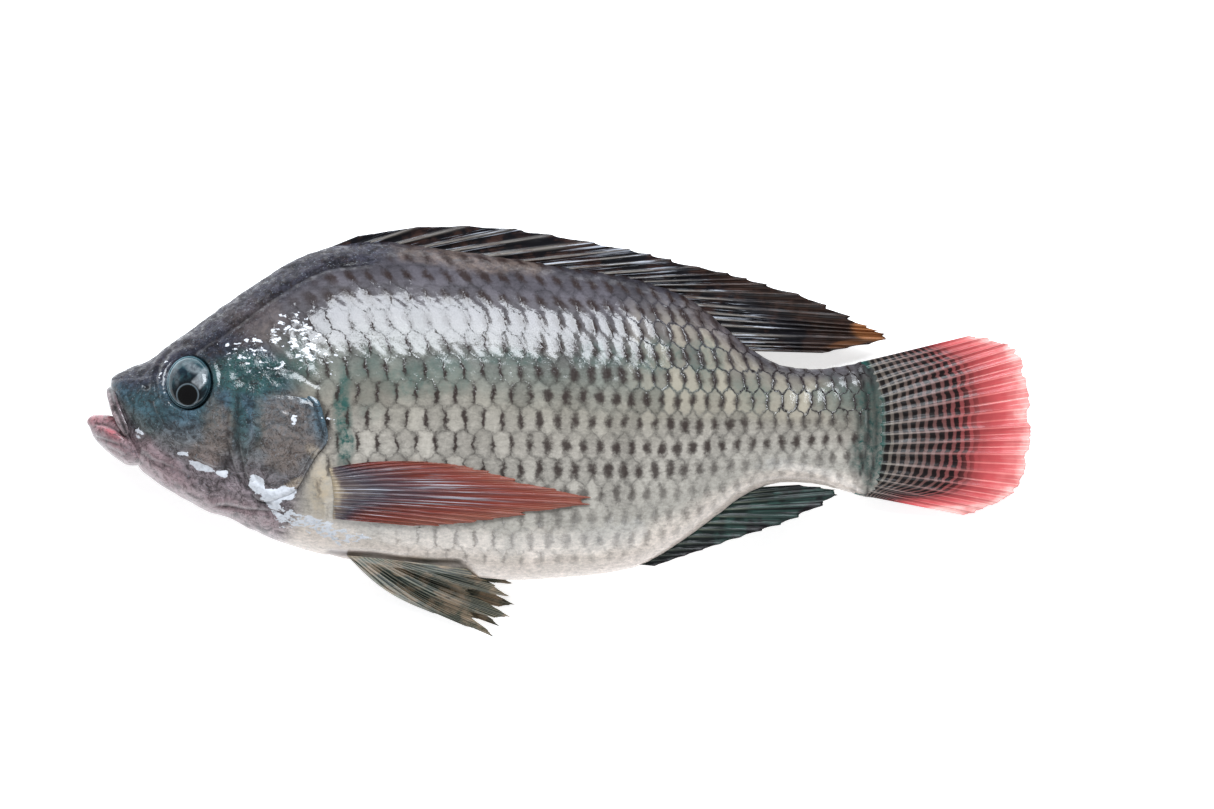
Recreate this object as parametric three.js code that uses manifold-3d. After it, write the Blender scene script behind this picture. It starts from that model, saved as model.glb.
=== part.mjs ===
// A whole raw tilapia, uncut and unscaled, lying on its right side on a flat surface.
// Millimetres, +Z up. The head points to -X, the back to +Y and the left flank faces +Z.
// Every outline is drawn in the fish's own side view (X, Y), and each piece is set at the
// height where it lies: the trunk on its right flank, the tail sagging down to the surface.
import * as THREE from "three";
import { mergeVertices } from "three/addons/utils/BufferGeometryUtils.js";
import Module from "manifold-3d";

// Driving dimensions
const totalLength = 300; // lower lip to the end of the tail fin
const drawnLength = 300; // the length that the outlines below are drawn at
const scale = totalLength / drawnLength;
const bodyRings = 42;
const bodySides = 28;
const gap = 0.3; // clearance between neighbouring pieces
const widestAt = 0.48; // share of the body's depth, from the belly, where it is thickest

// Trunk and head: each row is one slanted section, from the snout to the root of the tail.
// top and bottom are its ends on the back and belly lines; half is half its thickness.
const bodySections = [
  { top: [-143.2, 14.6], bottom: [-143.2, 13.8], half: 0.5 },
  { top: [-142.4, 16.8], bottom: [-142.5, 11.5], half: 3.4 },
  { top: [-140.2, 18.4], bottom: [-141.4, 8.0], half: 5.8 },
  { top: [-136.5, 19.9], bottom: [-139.6, 3.8], half: 7.9 },
  { top: [-131.0, 22.1], bottom: [-137.0, -2.8], half: 9.8 },
  { top: [-124.0, 27.0], bottom: [-131.5, -11.2], half: 12.6 },
  { top: [-112.5, 35.8], bottom: [-120.5, -18.8], half: 16.2 },
  { top: [-99.0, 45.5], bottom: [-106.0, -26.8], half: 19.2 },
  { top: [-86.0, 53.3], bottom: [-91.0, -34.2], half: 21.2 },
  { top: [-72.0, 58.6], bottom: [-75.0, -39.2], half: 22.4 },
  { top: [-56.0, 60.0], bottom: [-58.0, -42.4], half: 22.8 },
  { top: [-36.0, 57.8], bottom: [-37.0, -45.4], half: 22.7 },
  { top: [-14.0, 54.7], bottom: [-14.0, -47.1], half: 21.8 },
  { top: [8.0, 51.0], bottom: [8.0, -45.8], half: 20.0 },
  { top: [27.0, 47.4], bottom: [25.0, -42.6], half: 17.8 },
  { top: [41.0, 42.0], bottom: [38.0, -35.0], half: 15.6 },
  { top: [51.0, 34.4], bottom: [49.5, -26.8], half: 13.4 },
  { top: [60.0, 26.6], bottom: [59.5, -19.8], half: 11.3 },
  { top: [69.0, 21.2], bottom: [69.0, -16.4], half: 9.6 },
  { top: [80.0, 19.4], bottom: [80.0, -16.4], half: 8.0 },
  { top: [90.0, 20.4], bottom: [90.0, -18.4], half: 6.4 },
  { top: [97.5, 22.3], bottom: [97.0, -20.6], half: 4.6 },
  { top: [103.0, 22.6], bottom: [102.5, -21.0], half: 2.6 },
];
// How fast a section thins towards the back and the belly: 0.5 is an ellipse, 1 a sharp ridge.
const backTaper = 0.64;
const bellyTaper = 0.6;
// Height of the fish's middle plane above the surface, against distance along it.
const middleHeights = [
  [-150, 16.0],
  [-120, 20.4],
  [-98, 22.6],
  [-74, 23.2],
  [-50, 21.4],
  [-20, 20.3],
  [10, 18.4],
  [40, 15.2],
  [70, 11.6],
  [100, 8.0],
  [125, 4.4],
  [150, 1.5],
];

// Lower jaw, drawn as the trunk is.
const jawSections = [
  { top: [-149.9, 3.0], bottom: [-149.9, 2.4], half: 0.5 },
  { top: [-149.2, 4.4], bottom: [-149.5, -0.6], half: 3.4 },
  { top: [-147.0, 4.9], bottom: [-147.6, -3.4], half: 5.6 },
  { top: [-143.5, 4.6], bottom: [-144.2, -6.6], half: 7.4 },
  { top: [-139.8, 3.2], bottom: [-139.6, -9.8], half: 9.0 },
  { top: [-135.5, -0.5], bottom: [-133.4, -13.4], half: 10.6 },
  { top: [-129.0, -5.5], bottom: [-125.6, -17.6], half: 12.0 },
  { top: [-121.0, -11.5], bottom: [-117.6, -21.4], half: 12.6 },
];

// The upper jaw's rim and the lower lip: half of each path, from the corner of the mouth to
// the middle plane, as [x, y, distance from the middle plane].
const upperJawPath = [
  [-136.8, -1.0, 9.6],
  [-139.4, 4.2, 8.0],
  [-141.9, 9.0, 5.4],
  [-143.3, 12.0, 0.0],
];
const lowerLipPath = [
  [-136.8, -1.4, 10.4],
  [-142.4, 3.4, 8.0],
  [-147.2, 4.6, 5.0],
  [-149.0, 4.4, 0.0],
];
const lipRadius = 1.6;

// Eyes
const eyeAt = [-117.2, 15.4];
const eyeRadii = [7.6, 8.8, 5.6];
const eyeStandsOut = 1.6; // of the eye's middle above the cheek

// Gill covers: the outline of one plate and how far it stands off the head
const gillCoverOutline = [
  [-97.9, 12.4],
  [-90.6, 14.9],
  [-82.6, 14.3],
  [-76.9, 11.1],
  [-74.0, 5.1],
  [-72.8, -2.9],
  [-76.9, -8.6],
  [-82.9, -18.1],
  [-89.0, -21.3],
  [-94.7, -21.9],
  [-97.9, -18.1],
  [-99.5, -12.4],
  [-98.5, -2.9],
];
const gillCoverThick = 1.6;
const gillCoverProud = 0.9;

// Fins: each is a sheet of rays from points along its root to points along its edge.
const dorsalRoot = [
  [-76, 57.0],
  [-56, 59.0],
  [-36, 56.8],
  [-14, 53.7],
  [8, 50.0],
  [27, 46.4],
  [41, 41.0],
  [51, 33.4],
  [61, 25.4],
];
const dorsalEdge = [
  [-72, 60.6],
  [-52, 64.7],
  [-28.6, 65.5],
  [-3, 62.6],
  [22, 57.6],
  [50, 51.2],
  [80, 42.4],
  [104.6, 29.6],
  [82, 25.2],
];
const analRoot = [
  [24, -42.4],
  [32, -38.4],
  [40, -33.2],
  [48, -27.6],
  [55, -22.4],
  [62, -18.0],
];
const analEdge = [
  [30, -43.0],
  [43, -38.6],
  [58, -33.6],
  [74, -28.2],
  [88.5, -19.8],
  [76, -17.2],
];
const tailRoot = [
  [94, -20.2],
  [98, -12],
  [99.5, 0],
  [99, 12],
  [96, 22.0],
];
const tailEdge = [
  [129, -27.0],
  [137, -24.4],
  [146, -18.2],
  [149.8, -6],
  [150, 4],
  [149, 17],
  [145.6, 26],
  [139.6, 28.8],
  [131, 30.5],
];
const pectoralRoot = [
  [-72.5, -11.6],
  [-71.5, -16],
  [-71, -22],
  [-71.5, -27.6],
];
const pectoralEdge = [
  [-36, -9.6],
  [-16, -15.0],
  [9.5, -21.8],
  [-14, -26.4],
  [-40, -29.8],
];
const pelvicRoot = [
  [-67.5, -39.4],
  [-63.0, -39.8],
  [-59.0, -40.2],
  [-55.0, -40.6],
  [-51.0, -41.0],
];
const pelvicEdge = [
  [-41.0, -58.2],
  [-22.0, -65.4],
  [-28.5, -58.8],
  [-16.4, -59.4],
  [-30.0, -50.6],
  [-16.4, -52.6],
  [-30.0, -43.6],
];
const pelvicBow = 2.6; // of each pelvic fin's leading spine, forward
const finThickness = { root: 2.2, edge: 1.0 };
const pairedThickness = { root: 1.8, edge: 0.9 };
const pectoralLift = 0.7; // of a pectoral fin's middle off the flank
const surfaceLift = 0.55; // of the lowest fin's middle above the surface it lies on
const pelvicSpread = 4.2; // of each pelvic fin's root from the middle plane
const pelvicLift = 1.4; // of a pelvic fin's middle off the flank
// Heights of each pelvic fin's tips, from its leading spine to its innermost ray, and how
// steeply it drops to them from its root.
const pelvicTips = { left: [4.0, 21.5], right: [1.1, 1.1] };
const pelvicDroop = { left: 2, right: 3 };
const rightPelvicTurn = 4; // degrees, towards the belly

// ---------------------------------------------------------------- curves and solids

const lineThrough = (points) =>
  new THREE.CatmullRomCurve3(
    points.map(([x, y, z = 0]) => new THREE.Vector3(x, y, z)),
    false,
    "catmullrom",
    0.5,
  );

const middleLine = new THREE.CubicInterpolant(
  middleHeights.map(([x]) => x),
  middleHeights.map(([, z]) => z),
  1,
  new Float32Array(1),
);
const middleHeight = (x) => middleLine.evaluate(THREE.MathUtils.clamp(x, -150, 150))[0];

// A family of slanted sections as three curves that share one parameter, 0 to 1.
function loft(sections) {
  return {
    top: lineThrough(sections.map((s) => s.top)),
    bottom: lineThrough(sections.map((s) => s.bottom)),
    half: lineThrough(sections.map((s) => [s.half, 0])),
  };
}

// One point of a section: turn is 0 at the back, a quarter turn on the left flank.
function sectionPoint(shape, t, turn, grow = 0) {
  const top = shape.top.getPoint(t);
  const bottom = shape.bottom.getPoint(t);
  const along = top.clone().sub(bottom).normalize();
  top.addScaledVector(along, grow);
  bottom.addScaledVector(along, -grow);
  const middle = bottom.clone().lerp(top, widestAt);
  const reach = Math.cos(turn);
  const point = middle.clone().lerp(reach > 0 ? top : bottom, Math.abs(reach));
  const taper = reach > 0 ? backTaper : bellyTaper;
  const side = Math.sin(turn);
  const half = Math.max(shape.half.getPoint(t).x, 0) + grow;
  point.z = middleHeight(point.x) + Math.sign(side) * half * Math.abs(side) ** (2 * taper);
  return point;
}

// A closed surface through rings of equal length, with a fan at each end.
function closedTube(rings) {
  const sides = rings[0].length;
  const centreOf = (ring) =>
    ring.reduce((sum, p) => sum.add(p), new THREE.Vector3()).divideScalar(sides);
  const points = [...rings.flat(), centreOf(rings[0]), centreOf(rings.at(-1))];
  const first = rings.length * sides;
  const faces = [];
  for (let j = 0; j < sides; j++) {
    const next = (j + 1) % sides;
    for (let i = 0; i < rings.length - 1; i++) {
      const [a, b] = [i * sides + j, i * sides + next];
      faces.push(a, b, a + sides, b, b + sides, a + sides);
    }
    const last = (rings.length - 1) * sides;
    faces.push(first, next, j, first + 1, last + j, last + next);
  }
  const geometry = new THREE.BufferGeometry().setFromPoints(points);
  geometry.setIndex(faces);
  return geometry;
}

function loftGeometry(shape, rings, sides, grow = 0) {
  return closedTube(
    Array.from({ length: rings }, (_, i) =>
      Array.from({ length: sides }, (_, j) =>
        sectionPoint(shape, i / (rings - 1), (2 * Math.PI * j) / sides, grow),
      ),
    ),
  );
}

// Height of a flank at a place in the side view; side is 1 on the left and -1 on the right.
function flankHeight(shape, x, y, side) {
  let [low, high] = [0, 1];
  for (let step = 0; step < 24; step++) {
    const t = (low + high) / 2;
    const [top, bottom] = [shape.top.getPoint(t), shape.bottom.getPoint(t)];
    const ahead = (x - bottom.x) * (top.y - bottom.y) - (y - bottom.y) * (top.x - bottom.x);
    if (ahead > 0) low = t;
    else high = t;
  }
  const t = (low + high) / 2;
  const [top, bottom] = [shape.top.getPoint(t), shape.bottom.getPoint(t)];
  const middle = bottom.clone().lerp(top, widestAt);
  const end = y > middle.y ? top : bottom;
  const reach = THREE.MathUtils.clamp((y - middle.y) / (end.y - middle.y), 0, 1);
  const taper = y > middle.y ? backTaper : bellyTaper;
  return middleHeight(x) + side * shape.half.getPoint(t).x * (1 - reach ** 2) ** taper;
}

// A thin closed sheet of rays between two lines of the side view, at the given heights.
function finGeometry(root, edge, [rays, steps], thickness, heightAt, grow = 0, bow = 0) {
  const [rootLine, edgeLine] = [lineThrough(root), lineThrough(edge)];
  return closedTube(
    Array.from({ length: rays }, (_, i) => {
      const s = i / (rays - 1);
      const [from, to] = [rootLine.getPoint(s), edgeLine.getPoint(s)];
      const across = new THREE.Vector3(to.y - from.y, from.x - to.x, 0).normalize();
      const middle = Array.from({ length: steps + 1 }, (_, j) => {
        const point = from.clone().lerp(to, j / steps);
        point.addScaledVector(across, bow * (1 - s) * Math.sin((Math.PI * j) / steps));
        point.z = heightAt(point, j / steps, s);
        return point;
      });
      const half = (j) =>
        THREE.MathUtils.lerp(thickness.root, thickness.edge, j / steps) / 2 + grow;
      const upper = middle.map((p, j) => p.clone().setZ(p.z + half(j)));
      const lower = middle.map((p, j) => p.clone().setZ(p.z - half(j)));
      return [...upper, ...lower.reverse()];
    }),
  );
}

const wasm = await Module();
wasm.setup();

function solidOf(geometry, matrix = new THREE.Matrix4()) {
  const bare = new THREE.BufferGeometry();
  bare.setAttribute("position", geometry.getAttribute("position").clone());
  if (geometry.index) bare.setIndex(geometry.index);
  const merged = mergeVertices(bare.applyMatrix4(matrix), 1e-4);
  const solid = new wasm.Manifold(
    new wasm.Mesh({
      numProp: 3,
      vertProperties: merged.attributes.position.array,
      triVerts: new Uint32Array(merged.index.array),
    }),
  );
  if (solid.volume() > 0) return solid;
  const turned = Uint32Array.from(merged.index.array).reverse();
  return new wasm.Manifold(
    new wasm.Mesh({
      numProp: 3,
      vertProperties: merged.attributes.position.array,
      triVerts: turned,
    }),
  );
}

// The largest body of a cut solid, without its slivers, as a geometry.
function geometryOf(solid) {
  const bodies = solid.decompose();
  const largest = bodies.reduce((a, b) => (a.volume() > b.volume() ? a : b)).simplify(0.01);
  const { numProp, vertProperties, triVerts } = largest.getMesh();
  const places = new Float32Array((vertProperties.length / numProp) * 3);
  for (let i = 0; i < places.length / 3; i++)
    places.set(vertProperties.subarray(i * numProp, i * numProp + 3), i * 3);
  const geometry = new THREE.BufferGeometry();
  geometry.setAttribute("position", new THREE.BufferAttribute(places, 3));
  geometry.setIndex(new THREE.BufferAttribute(triVerts, 1));
  geometry.computeVertexNormals();
  return geometry;
}

// ---------------------------------------------------------------- the pieces

const body = loft(bodySections);
const jaw = loft(jawSections);
const trunkWith = (grow) => solidOf(loftGeometry(body, bodyRings, bodySides, grow));

const belowSurface = () =>
  solidOf(
    new THREE.BoxGeometry(2 * drawnLength, 2 * drawnLength, drawnLength),
    new THREE.Matrix4().makeTranslation(0, 0, -drawnLength / 2),
  );

// Everything inside an outline of the side view, on one side of the middle plane.
function flankColumn(outline, side, grow) {
  const centre = outline
    .reduce((sum, [x, y]) => sum.add(new THREE.Vector2(x, y)), new THREE.Vector2())
    .divideScalar(outline.length);
  const ring = outline.map(([x, y]) => {
    const point = new THREE.Vector2(x, y);
    return point.addScaledVector(point.clone().sub(centre).normalize(), grow);
  });
  const closed = new THREE.CatmullRomCurve3(
    ring.map((p) => new THREE.Vector3(p.x, p.y, 0)),
    true,
  );
  const shape = new THREE.Shape(closed.getPoints(40).slice(0, -1));
  const column = new THREE.ExtrudeGeometry(shape, { depth: 60, bevelEnabled: false });
  const base = middleHeight(centre.x);
  return solidOf(
    column,
    new THREE.Matrix4().makeTranslation(0, 0, side > 0 ? base : base - 60),
  );
}

function eyeMatrix(side) {
  const [x, y] = eyeAt;
  const sunk = eyeRadii[2] - eyeStandsOut;
  return new THREE.Matrix4().makeTranslation(
    x,
    y,
    flankHeight(body, x, y, side) - side * sunk,
  );
}

const eyeGeometry = (grow) =>
  new THREE.SphereGeometry(1, 18, 12).scale(...eyeRadii.map((r) => r + grow));

function lipSolid(halfPath, grow = 0) {
  const left = halfPath.map(([x, y, z]) => [x, y, middleHeight(x) + z]);
  const right = halfPath.slice(0, -1).map(([x, y, z]) => [x, y, middleHeight(x) - z]);
  const path = lineThrough([...left, ...right.reverse()]);
  const round = new THREE.Shape(
    new THREE.EllipseCurve(0, 0, lipRadius + grow, lipRadius + grow)
      .getPoints(8)
      .slice(0, -1),
  );
  return solidOf(
    new THREE.ExtrudeGeometry(round, { steps: 22, extrudePath: path, bevelEnabled: false }),
  );
}

const pectoralSheet = (side, grow = 0) =>
  finGeometry(
    pectoralRoot,
    pectoralEdge,
    [13, 8],
    pairedThickness,
    (p, t) => {
      const off = flankHeight(body, p.x, p.y, side) + side * pectoralLift;
      const buried = THREE.MathUtils.lerp(0.5, 0, Math.min(1, t * 4));
      return Math.max(off - side * buried, surfaceLift);
    },
    grow,
  );

function pelvicSheet(side) {
  const name = side > 0 ? "left" : "right";
  const [leading, innermost] = pelvicTips[name];
  const drop = (p, t, s) => {
    const tip = THREE.MathUtils.lerp(leading, innermost, s ** 1.5);
    const root = middleHeight(p.x) + side * pelvicSpread;
    const hanging = THREE.MathUtils.lerp(tip, root, (1 - t) ** pelvicDroop[name]);
    const flank = flankHeight(body, p.x, p.y, side);
    const besideTrunk = Math.abs(flank - middleHeight(p.x)) > 0.05;
    if (!besideTrunk) return hanging;
    return side * Math.max(side * hanging, side * flank + pelvicLift * Math.min(1, 4 * t));
  };
  const [root, edge] = [pelvicRoot, pelvicEdge];
  const sheet = finGeometry(root, edge, [13, 6], pairedThickness, drop, 0, pelvicBow);
  if (side > 0) return sheet;
  const [x, y] = pelvicRoot[0];
  const turn = THREE.MathUtils.degToRad(rightPelvicTurn);
  return sheet.translate(-x, -y, 0).rotateZ(turn).translate(x, y, 0);
}

const onMiddle = (p) => middleHeight(p.x);

const skin = { color: 0x6f6c66, roughness: 0.3, metalness: 0 };
const finDark = { color: 0x34343a, roughness: 0.4, metalness: 0 };
const finRed = { color: 0x9a4a44, roughness: 0.4, metalness: 0 };
const tailPink = { color: 0xc4696a, roughness: 0.4, metalness: 0 };
const lipPink = { color: 0xb06a70, roughness: 0.25, metalness: 0 };
const eyeWet = { color: 0x1b2a33, roughness: 0.08, metalness: 0 };

const fish = new THREE.Group();
function add(name, solid, finish) {
  const mesh = new THREE.Mesh(geometryOf(solid), new THREE.MeshStandardMaterial(finish));
  mesh.name = name;
  fish.add(mesh);
}

const sides = [
  ["left", 1],
  ["right", -1],
];
const floorBox = belowSurface();
const clearTrunk = trunkWith(gap);
const jawSolid = solidOf(loftGeometry(jaw, 14, 20));
const clearJaw = solidOf(loftGeometry(jaw, 14, 20, gap));

// Trunk and head, with the flat that it lies on, the eye sockets, the seats of the gill
// covers and the hollow where the flank lies on the right pectoral fin.
let trunk = trunkWith(0).subtract(floorBox);
for (const [, side] of sides) {
  trunk = trunk.subtract(solidOf(eyeGeometry(gap), eyeMatrix(side)));
  const seat = flankColumn(gillCoverOutline, side, gap);
  trunk = trunk.subtract(seat.subtract(trunkWith(gillCoverProud - gillCoverThick - gap)));
}
trunk = trunk.subtract(solidOf(pectoralSheet(-1, 2 * gap)));
trunk = trunk.subtract(solidOf(pectoralSheet(1, 2 * gap)));
add("body", trunk, skin);

const upperJaw = lipSolid(upperJawPath).subtract(clearTrunk).subtract(clearJaw);
add("upper_jaw", upperJaw, lipPink);
const clearUpperJaw = lipSolid(upperJawPath, gap);
const lowerJaw = jawSolid.add(lipSolid(lowerLipPath));
add("lower_jaw", lowerJaw.subtract(clearTrunk).subtract(clearUpperJaw), skin);

const shellOfGillCover = trunkWith(gillCoverProud).subtract(
  trunkWith(gillCoverProud - gillCoverThick),
);
for (const [name, side] of sides) {
  add(`${name}_eye`, solidOf(eyeGeometry(0), eyeMatrix(side)), eyeWet);
  const cover = shellOfGillCover.intersect(flankColumn(gillCoverOutline, side, 0));
  const clearFin = solidOf(pectoralSheet(side, gap));
  add(`${name}_gill_cover`, cover.subtract(clearFin).subtract(floorBox), skin);
}

const medianFins = [
  ["dorsal_fin", dorsalRoot, dorsalEdge, [25, 4], finDark],
  ["anal_fin", analRoot, analEdge, [16, 3], finDark],
  ["tail_fin", tailRoot, tailEdge, [17, 6], tailPink],
];
for (const [name, root, edge, density, finish] of medianFins) {
  const sheet = finGeometry(root, edge, density, finThickness, onMiddle);
  add(name, solidOf(sheet).subtract(clearTrunk).subtract(floorBox), finish);
}

for (const [name, side] of sides) {
  const pectoral = solidOf(pectoralSheet(side)).subtract(floorBox);
  add(`${name}_pectoral_fin`, pectoral, finRed);
  add(`${name}_pelvic_fin`, solidOf(pelvicSheet(side)).subtract(clearTrunk), finDark);
}

// The origin is under the middle of the fish, on the surface that it lies on.
const bounds = new THREE.Box3().setFromObject(fish);
const centre = bounds.getCenter(new THREE.Vector3());
fish.scale.setScalar(scale);
fish.position.set(-centre.x, -centre.y, -bounds.min.z).multiplyScalar(scale);

export default fish;
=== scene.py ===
"""The looks of a whole raw tilapia that lies on its right side on a pale surface.

Shapes are worked out in millimetres in the part's frame (head to -X, back to +Y, left flank
to +Z) and turned to metres when a mesh is made.
"""

import logging  # noqa: E402
import math  # noqa: E402
from collections.abc import Mapping, Sequence  # noqa: E402
from dataclasses import dataclass, field  # noqa: E402
from enum import Enum  # noqa: E402
from typing import Any, NamedTuple  # noqa: E402

import bpy  # noqa: E402
import numpy as np  # noqa: E402
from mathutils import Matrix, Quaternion, Vector  # noqa: E402


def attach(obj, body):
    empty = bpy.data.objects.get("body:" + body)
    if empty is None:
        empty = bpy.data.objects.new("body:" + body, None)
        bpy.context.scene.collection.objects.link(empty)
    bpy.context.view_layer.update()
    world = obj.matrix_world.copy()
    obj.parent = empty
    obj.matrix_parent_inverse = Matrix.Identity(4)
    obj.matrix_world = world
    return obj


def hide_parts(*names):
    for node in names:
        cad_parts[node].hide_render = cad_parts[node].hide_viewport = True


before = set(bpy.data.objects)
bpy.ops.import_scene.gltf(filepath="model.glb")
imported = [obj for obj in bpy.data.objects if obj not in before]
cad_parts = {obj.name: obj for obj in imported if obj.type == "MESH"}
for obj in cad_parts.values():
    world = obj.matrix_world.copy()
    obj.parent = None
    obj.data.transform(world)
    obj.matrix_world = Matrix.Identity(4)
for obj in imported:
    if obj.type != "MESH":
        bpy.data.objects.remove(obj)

LOG = logging.getLogger("tilapia")
MM = 0.001
Array = np.ndarray
Line = Sequence[tuple[float, ...]]
Ramp = Sequence[tuple[float, str]]
STIR = (374761393, 668265263, 1274126177, 974711)  # large odd numbers that stir a cell's place


class Side(Enum):
    """A flank of the fish: the left one faces up, the right one lies on the surface."""

    LEFT = 1
    RIGHT = -1

    @property
    def word(self) -> str:
        """The side's name, as the CAD nodes spell it."""
        return self.name.lower()


# ------------------------------------------------------------------ curves and grain


def curve(points: Line, share: Array) -> Array:
    """Places along a smooth line through points.

    Args:
        points: The points of the line, each with the same number of coordinates.
        share: Where along the line, 0 at its first point and 1 at its last.

    Returns:
        One row of coordinates for each share.
    """
    knots = np.array(points, float)
    ends = np.vstack([2 * knots[0] - knots[1], knots, 2 * knots[-1] - knots[-2]])
    along = np.clip(np.asarray(share, float), 0, 1) * (len(knots) - 1)
    i = np.minimum(along.astype(int), len(knots) - 2)
    t = (along - i)[..., None]
    a, b, c, d = ends[i], ends[i + 1], ends[i + 2], ends[i + 3]
    lean_b, lean_c = (c - a) / 2, (d - b) / 2
    return (
        b
        + t * lean_b
        + t**2 * (3 * (c - b) - 2 * lean_b - lean_c)
        + t**3 * (2 * (b - c) + lean_b + lean_c)
    )


def profile(knots: Line, x: Array) -> Array:
    """The height of a smooth graph through knots.

    Args:
        knots: Pairs of x and height, in rising order of x.
        x: Where to read the graph; outside the knots it stays level.

    Returns:
        One height for each x.
    """
    xs, ys = np.array(knots, float).T
    slope = np.gradient(ys, xs)
    i = np.clip(np.searchsorted(xs, x) - 1, 0, len(xs) - 2)
    width = xs[i + 1] - xs[i]
    t = np.clip((x - xs[i]) / width, 0, 1)
    rise = ys[i + 1] - ys[i]
    first, last = slope[i] * width, slope[i + 1] * width
    return ys[i] + t * first + t**2 * (3 * rise - 2 * first - last) + t**3 * (first + last - 2 * rise)


def ease(low: float, high: float, x: Array) -> Array:
    """A smooth step from 0 at low to 1 at high, or the other way if high is less."""
    t = np.clip((x - low) / (high - low), 0, 1)
    return t * t * (3 - 2 * t)


def bell(x: Array, width: float) -> Array:
    """A bell curve of height 1 that has faded to a third at width from 0."""
    return np.exp(-((x / width) ** 2))


def grain(places: Array, size: float, seed: int = 0, layers: int = 1) -> Array:
    """Smooth random lumps, the same on every run.

    Args:
        places: Points in millimetres, in rows of two or three coordinates.
        size: Width of the largest lumps, in millimetres.
        seed: Which pattern of lumps.
        layers: How many finer layers are added, each half as large and half as strong.

    Returns:
        A value from about -1 to 1 for each place.
    """
    if places.shape[-1] == 2:
        places = np.concatenate([places, np.zeros_like(places[..., :1])], axis=-1)
    total = np.zeros(places.shape[:-1])
    for layer in range(layers):
        scaled = places * 2**layer / size
        cell = np.floor(scaled).astype(np.int64)
        t = scaled - cell
        t = t * t * (3 - 2 * t)
        for corner in np.ndindex(2, 2, 2):
            spot = cell + np.array(corner)
            mixed = (spot @ np.array(STIR[:3]) + (seed + layer) * STIR[3]) & 0xFFFFFFFF
            mixed = ((mixed ^ (mixed >> 13)) * STIR[2]) & 0xFFFFFFFF
            value = ((mixed ^ (mixed >> 16)) & 0xFFFF) / 32767.5 - 1
            weight = np.prod(np.where(np.array(corner) == 1, t, 1 - t), axis=-1)
            total += value * weight / 2**layer
    return total


@dataclass(frozen=True)
class Stroke:
    """One soft-edged patch of a tint or a swelling, placed in the side view."""

    x: float
    y: float
    along: float
    across: float
    lean: float = 0.0
    strength: float = 1.0


def cover(strokes: Sequence[Stroke], x: Array, y: Array, ragged: float = 0.25) -> Array:
    """How far a set of strokes covers each place.

    Args:
        strokes: The patches.
        x: Places along the fish, in millimetres.
        y: Places across the fish, in millimetres.
        ragged: How uneven the patches' edges are.

    Returns:
        Values from 0, bare, to 1, fully covered.
    """
    total = np.zeros_like(x)
    rough = grain(np.stack([x, y], axis=-1), 5.0, 77, 3)
    for stroke in strokes:
        turn = math.radians(stroke.lean)
        dx, dy = x - stroke.x, y - stroke.y
        u = (dx * math.cos(turn) + dy * math.sin(turn)) / stroke.along
        v = (dy * math.cos(turn) - dx * math.sin(turn)) / stroke.across
        reach = np.hypot(u, v) + ragged * rough
        total = np.maximum(total, stroke.strength * ease(1.25, 0.6, reach))
    return total


def crease(points: Line, x: Array, y: Array, width: float) -> Array:
    """How near each place is to a line drawn in the side view.

    Args:
        points: The line, in millimetres.
        x: Places along the fish.
        y: Places across the fish.
        width: Distance at which the crease has faded to a third.

    Returns:
        Values from 1 on the line to 0 far from it.
    """
    line = curve(points, np.linspace(0, 1, 12 * len(points)))
    nearest = np.full(x.shape, 1e9)
    for (ax, ay), (bx, by) in zip(line[:-1], line[1:]):
        length = max((bx - ax) ** 2 + (by - ay) ** 2, 1e-9)
        t = np.clip(((x - ax) * (bx - ax) + (y - ay) * (by - ay)) / length, 0, 1)
        gap = (x - ax - t * (bx - ax)) ** 2 + (y - ay - t * (by - ay)) ** 2
        nearest = np.minimum(nearest, gap)
    return np.exp(-nearest / width**2)


# ------------------------------------------------------------------ meshes


def outward(rings: Array) -> Array:
    """Unit normals of a surface given as rings of points that run round it.

    Args:
        rings: The points.

    Returns:
        One normal for each point.
    """
    along = np.gradient(rings, axis=0)
    round_it = np.roll(rings, -1, axis=1) - np.roll(rings, 1, axis=1)
    normal = np.cross(round_it, along)
    return normal / np.maximum(np.linalg.norm(normal, axis=-1, keepdims=True), 1e-9)


def tube_faces(rings: int, sides: int) -> tuple[list[list[int]], list[list[int]]]:
    """Faces of a closed surface through rings, with a fan of triangles at each end.

    Args:
        rings: Number of rings.
        sides: Number of points in each ring.

    Returns:
        The quads, and the triangles, whose last two point numbers are the ends' centres.
    """
    i, j = np.meshgrid(np.arange(rings - 1), np.arange(sides), indexing="ij")
    after = (j + 1) % sides
    quads = np.stack(
        [i * sides + j, (i + 1) * sides + j, (i + 1) * sides + after, i * sides + after], axis=-1
    ).reshape(-1, 4)
    first, last = rings * sides, rings * sides + 1
    base = (rings - 1) * sides
    fans = [[first, k, (k + 1) % sides] for k in range(sides)]
    fans += [[last, base + (k + 1) % sides, base + k] for k in range(sides)]
    return quads.tolist(), fans


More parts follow.
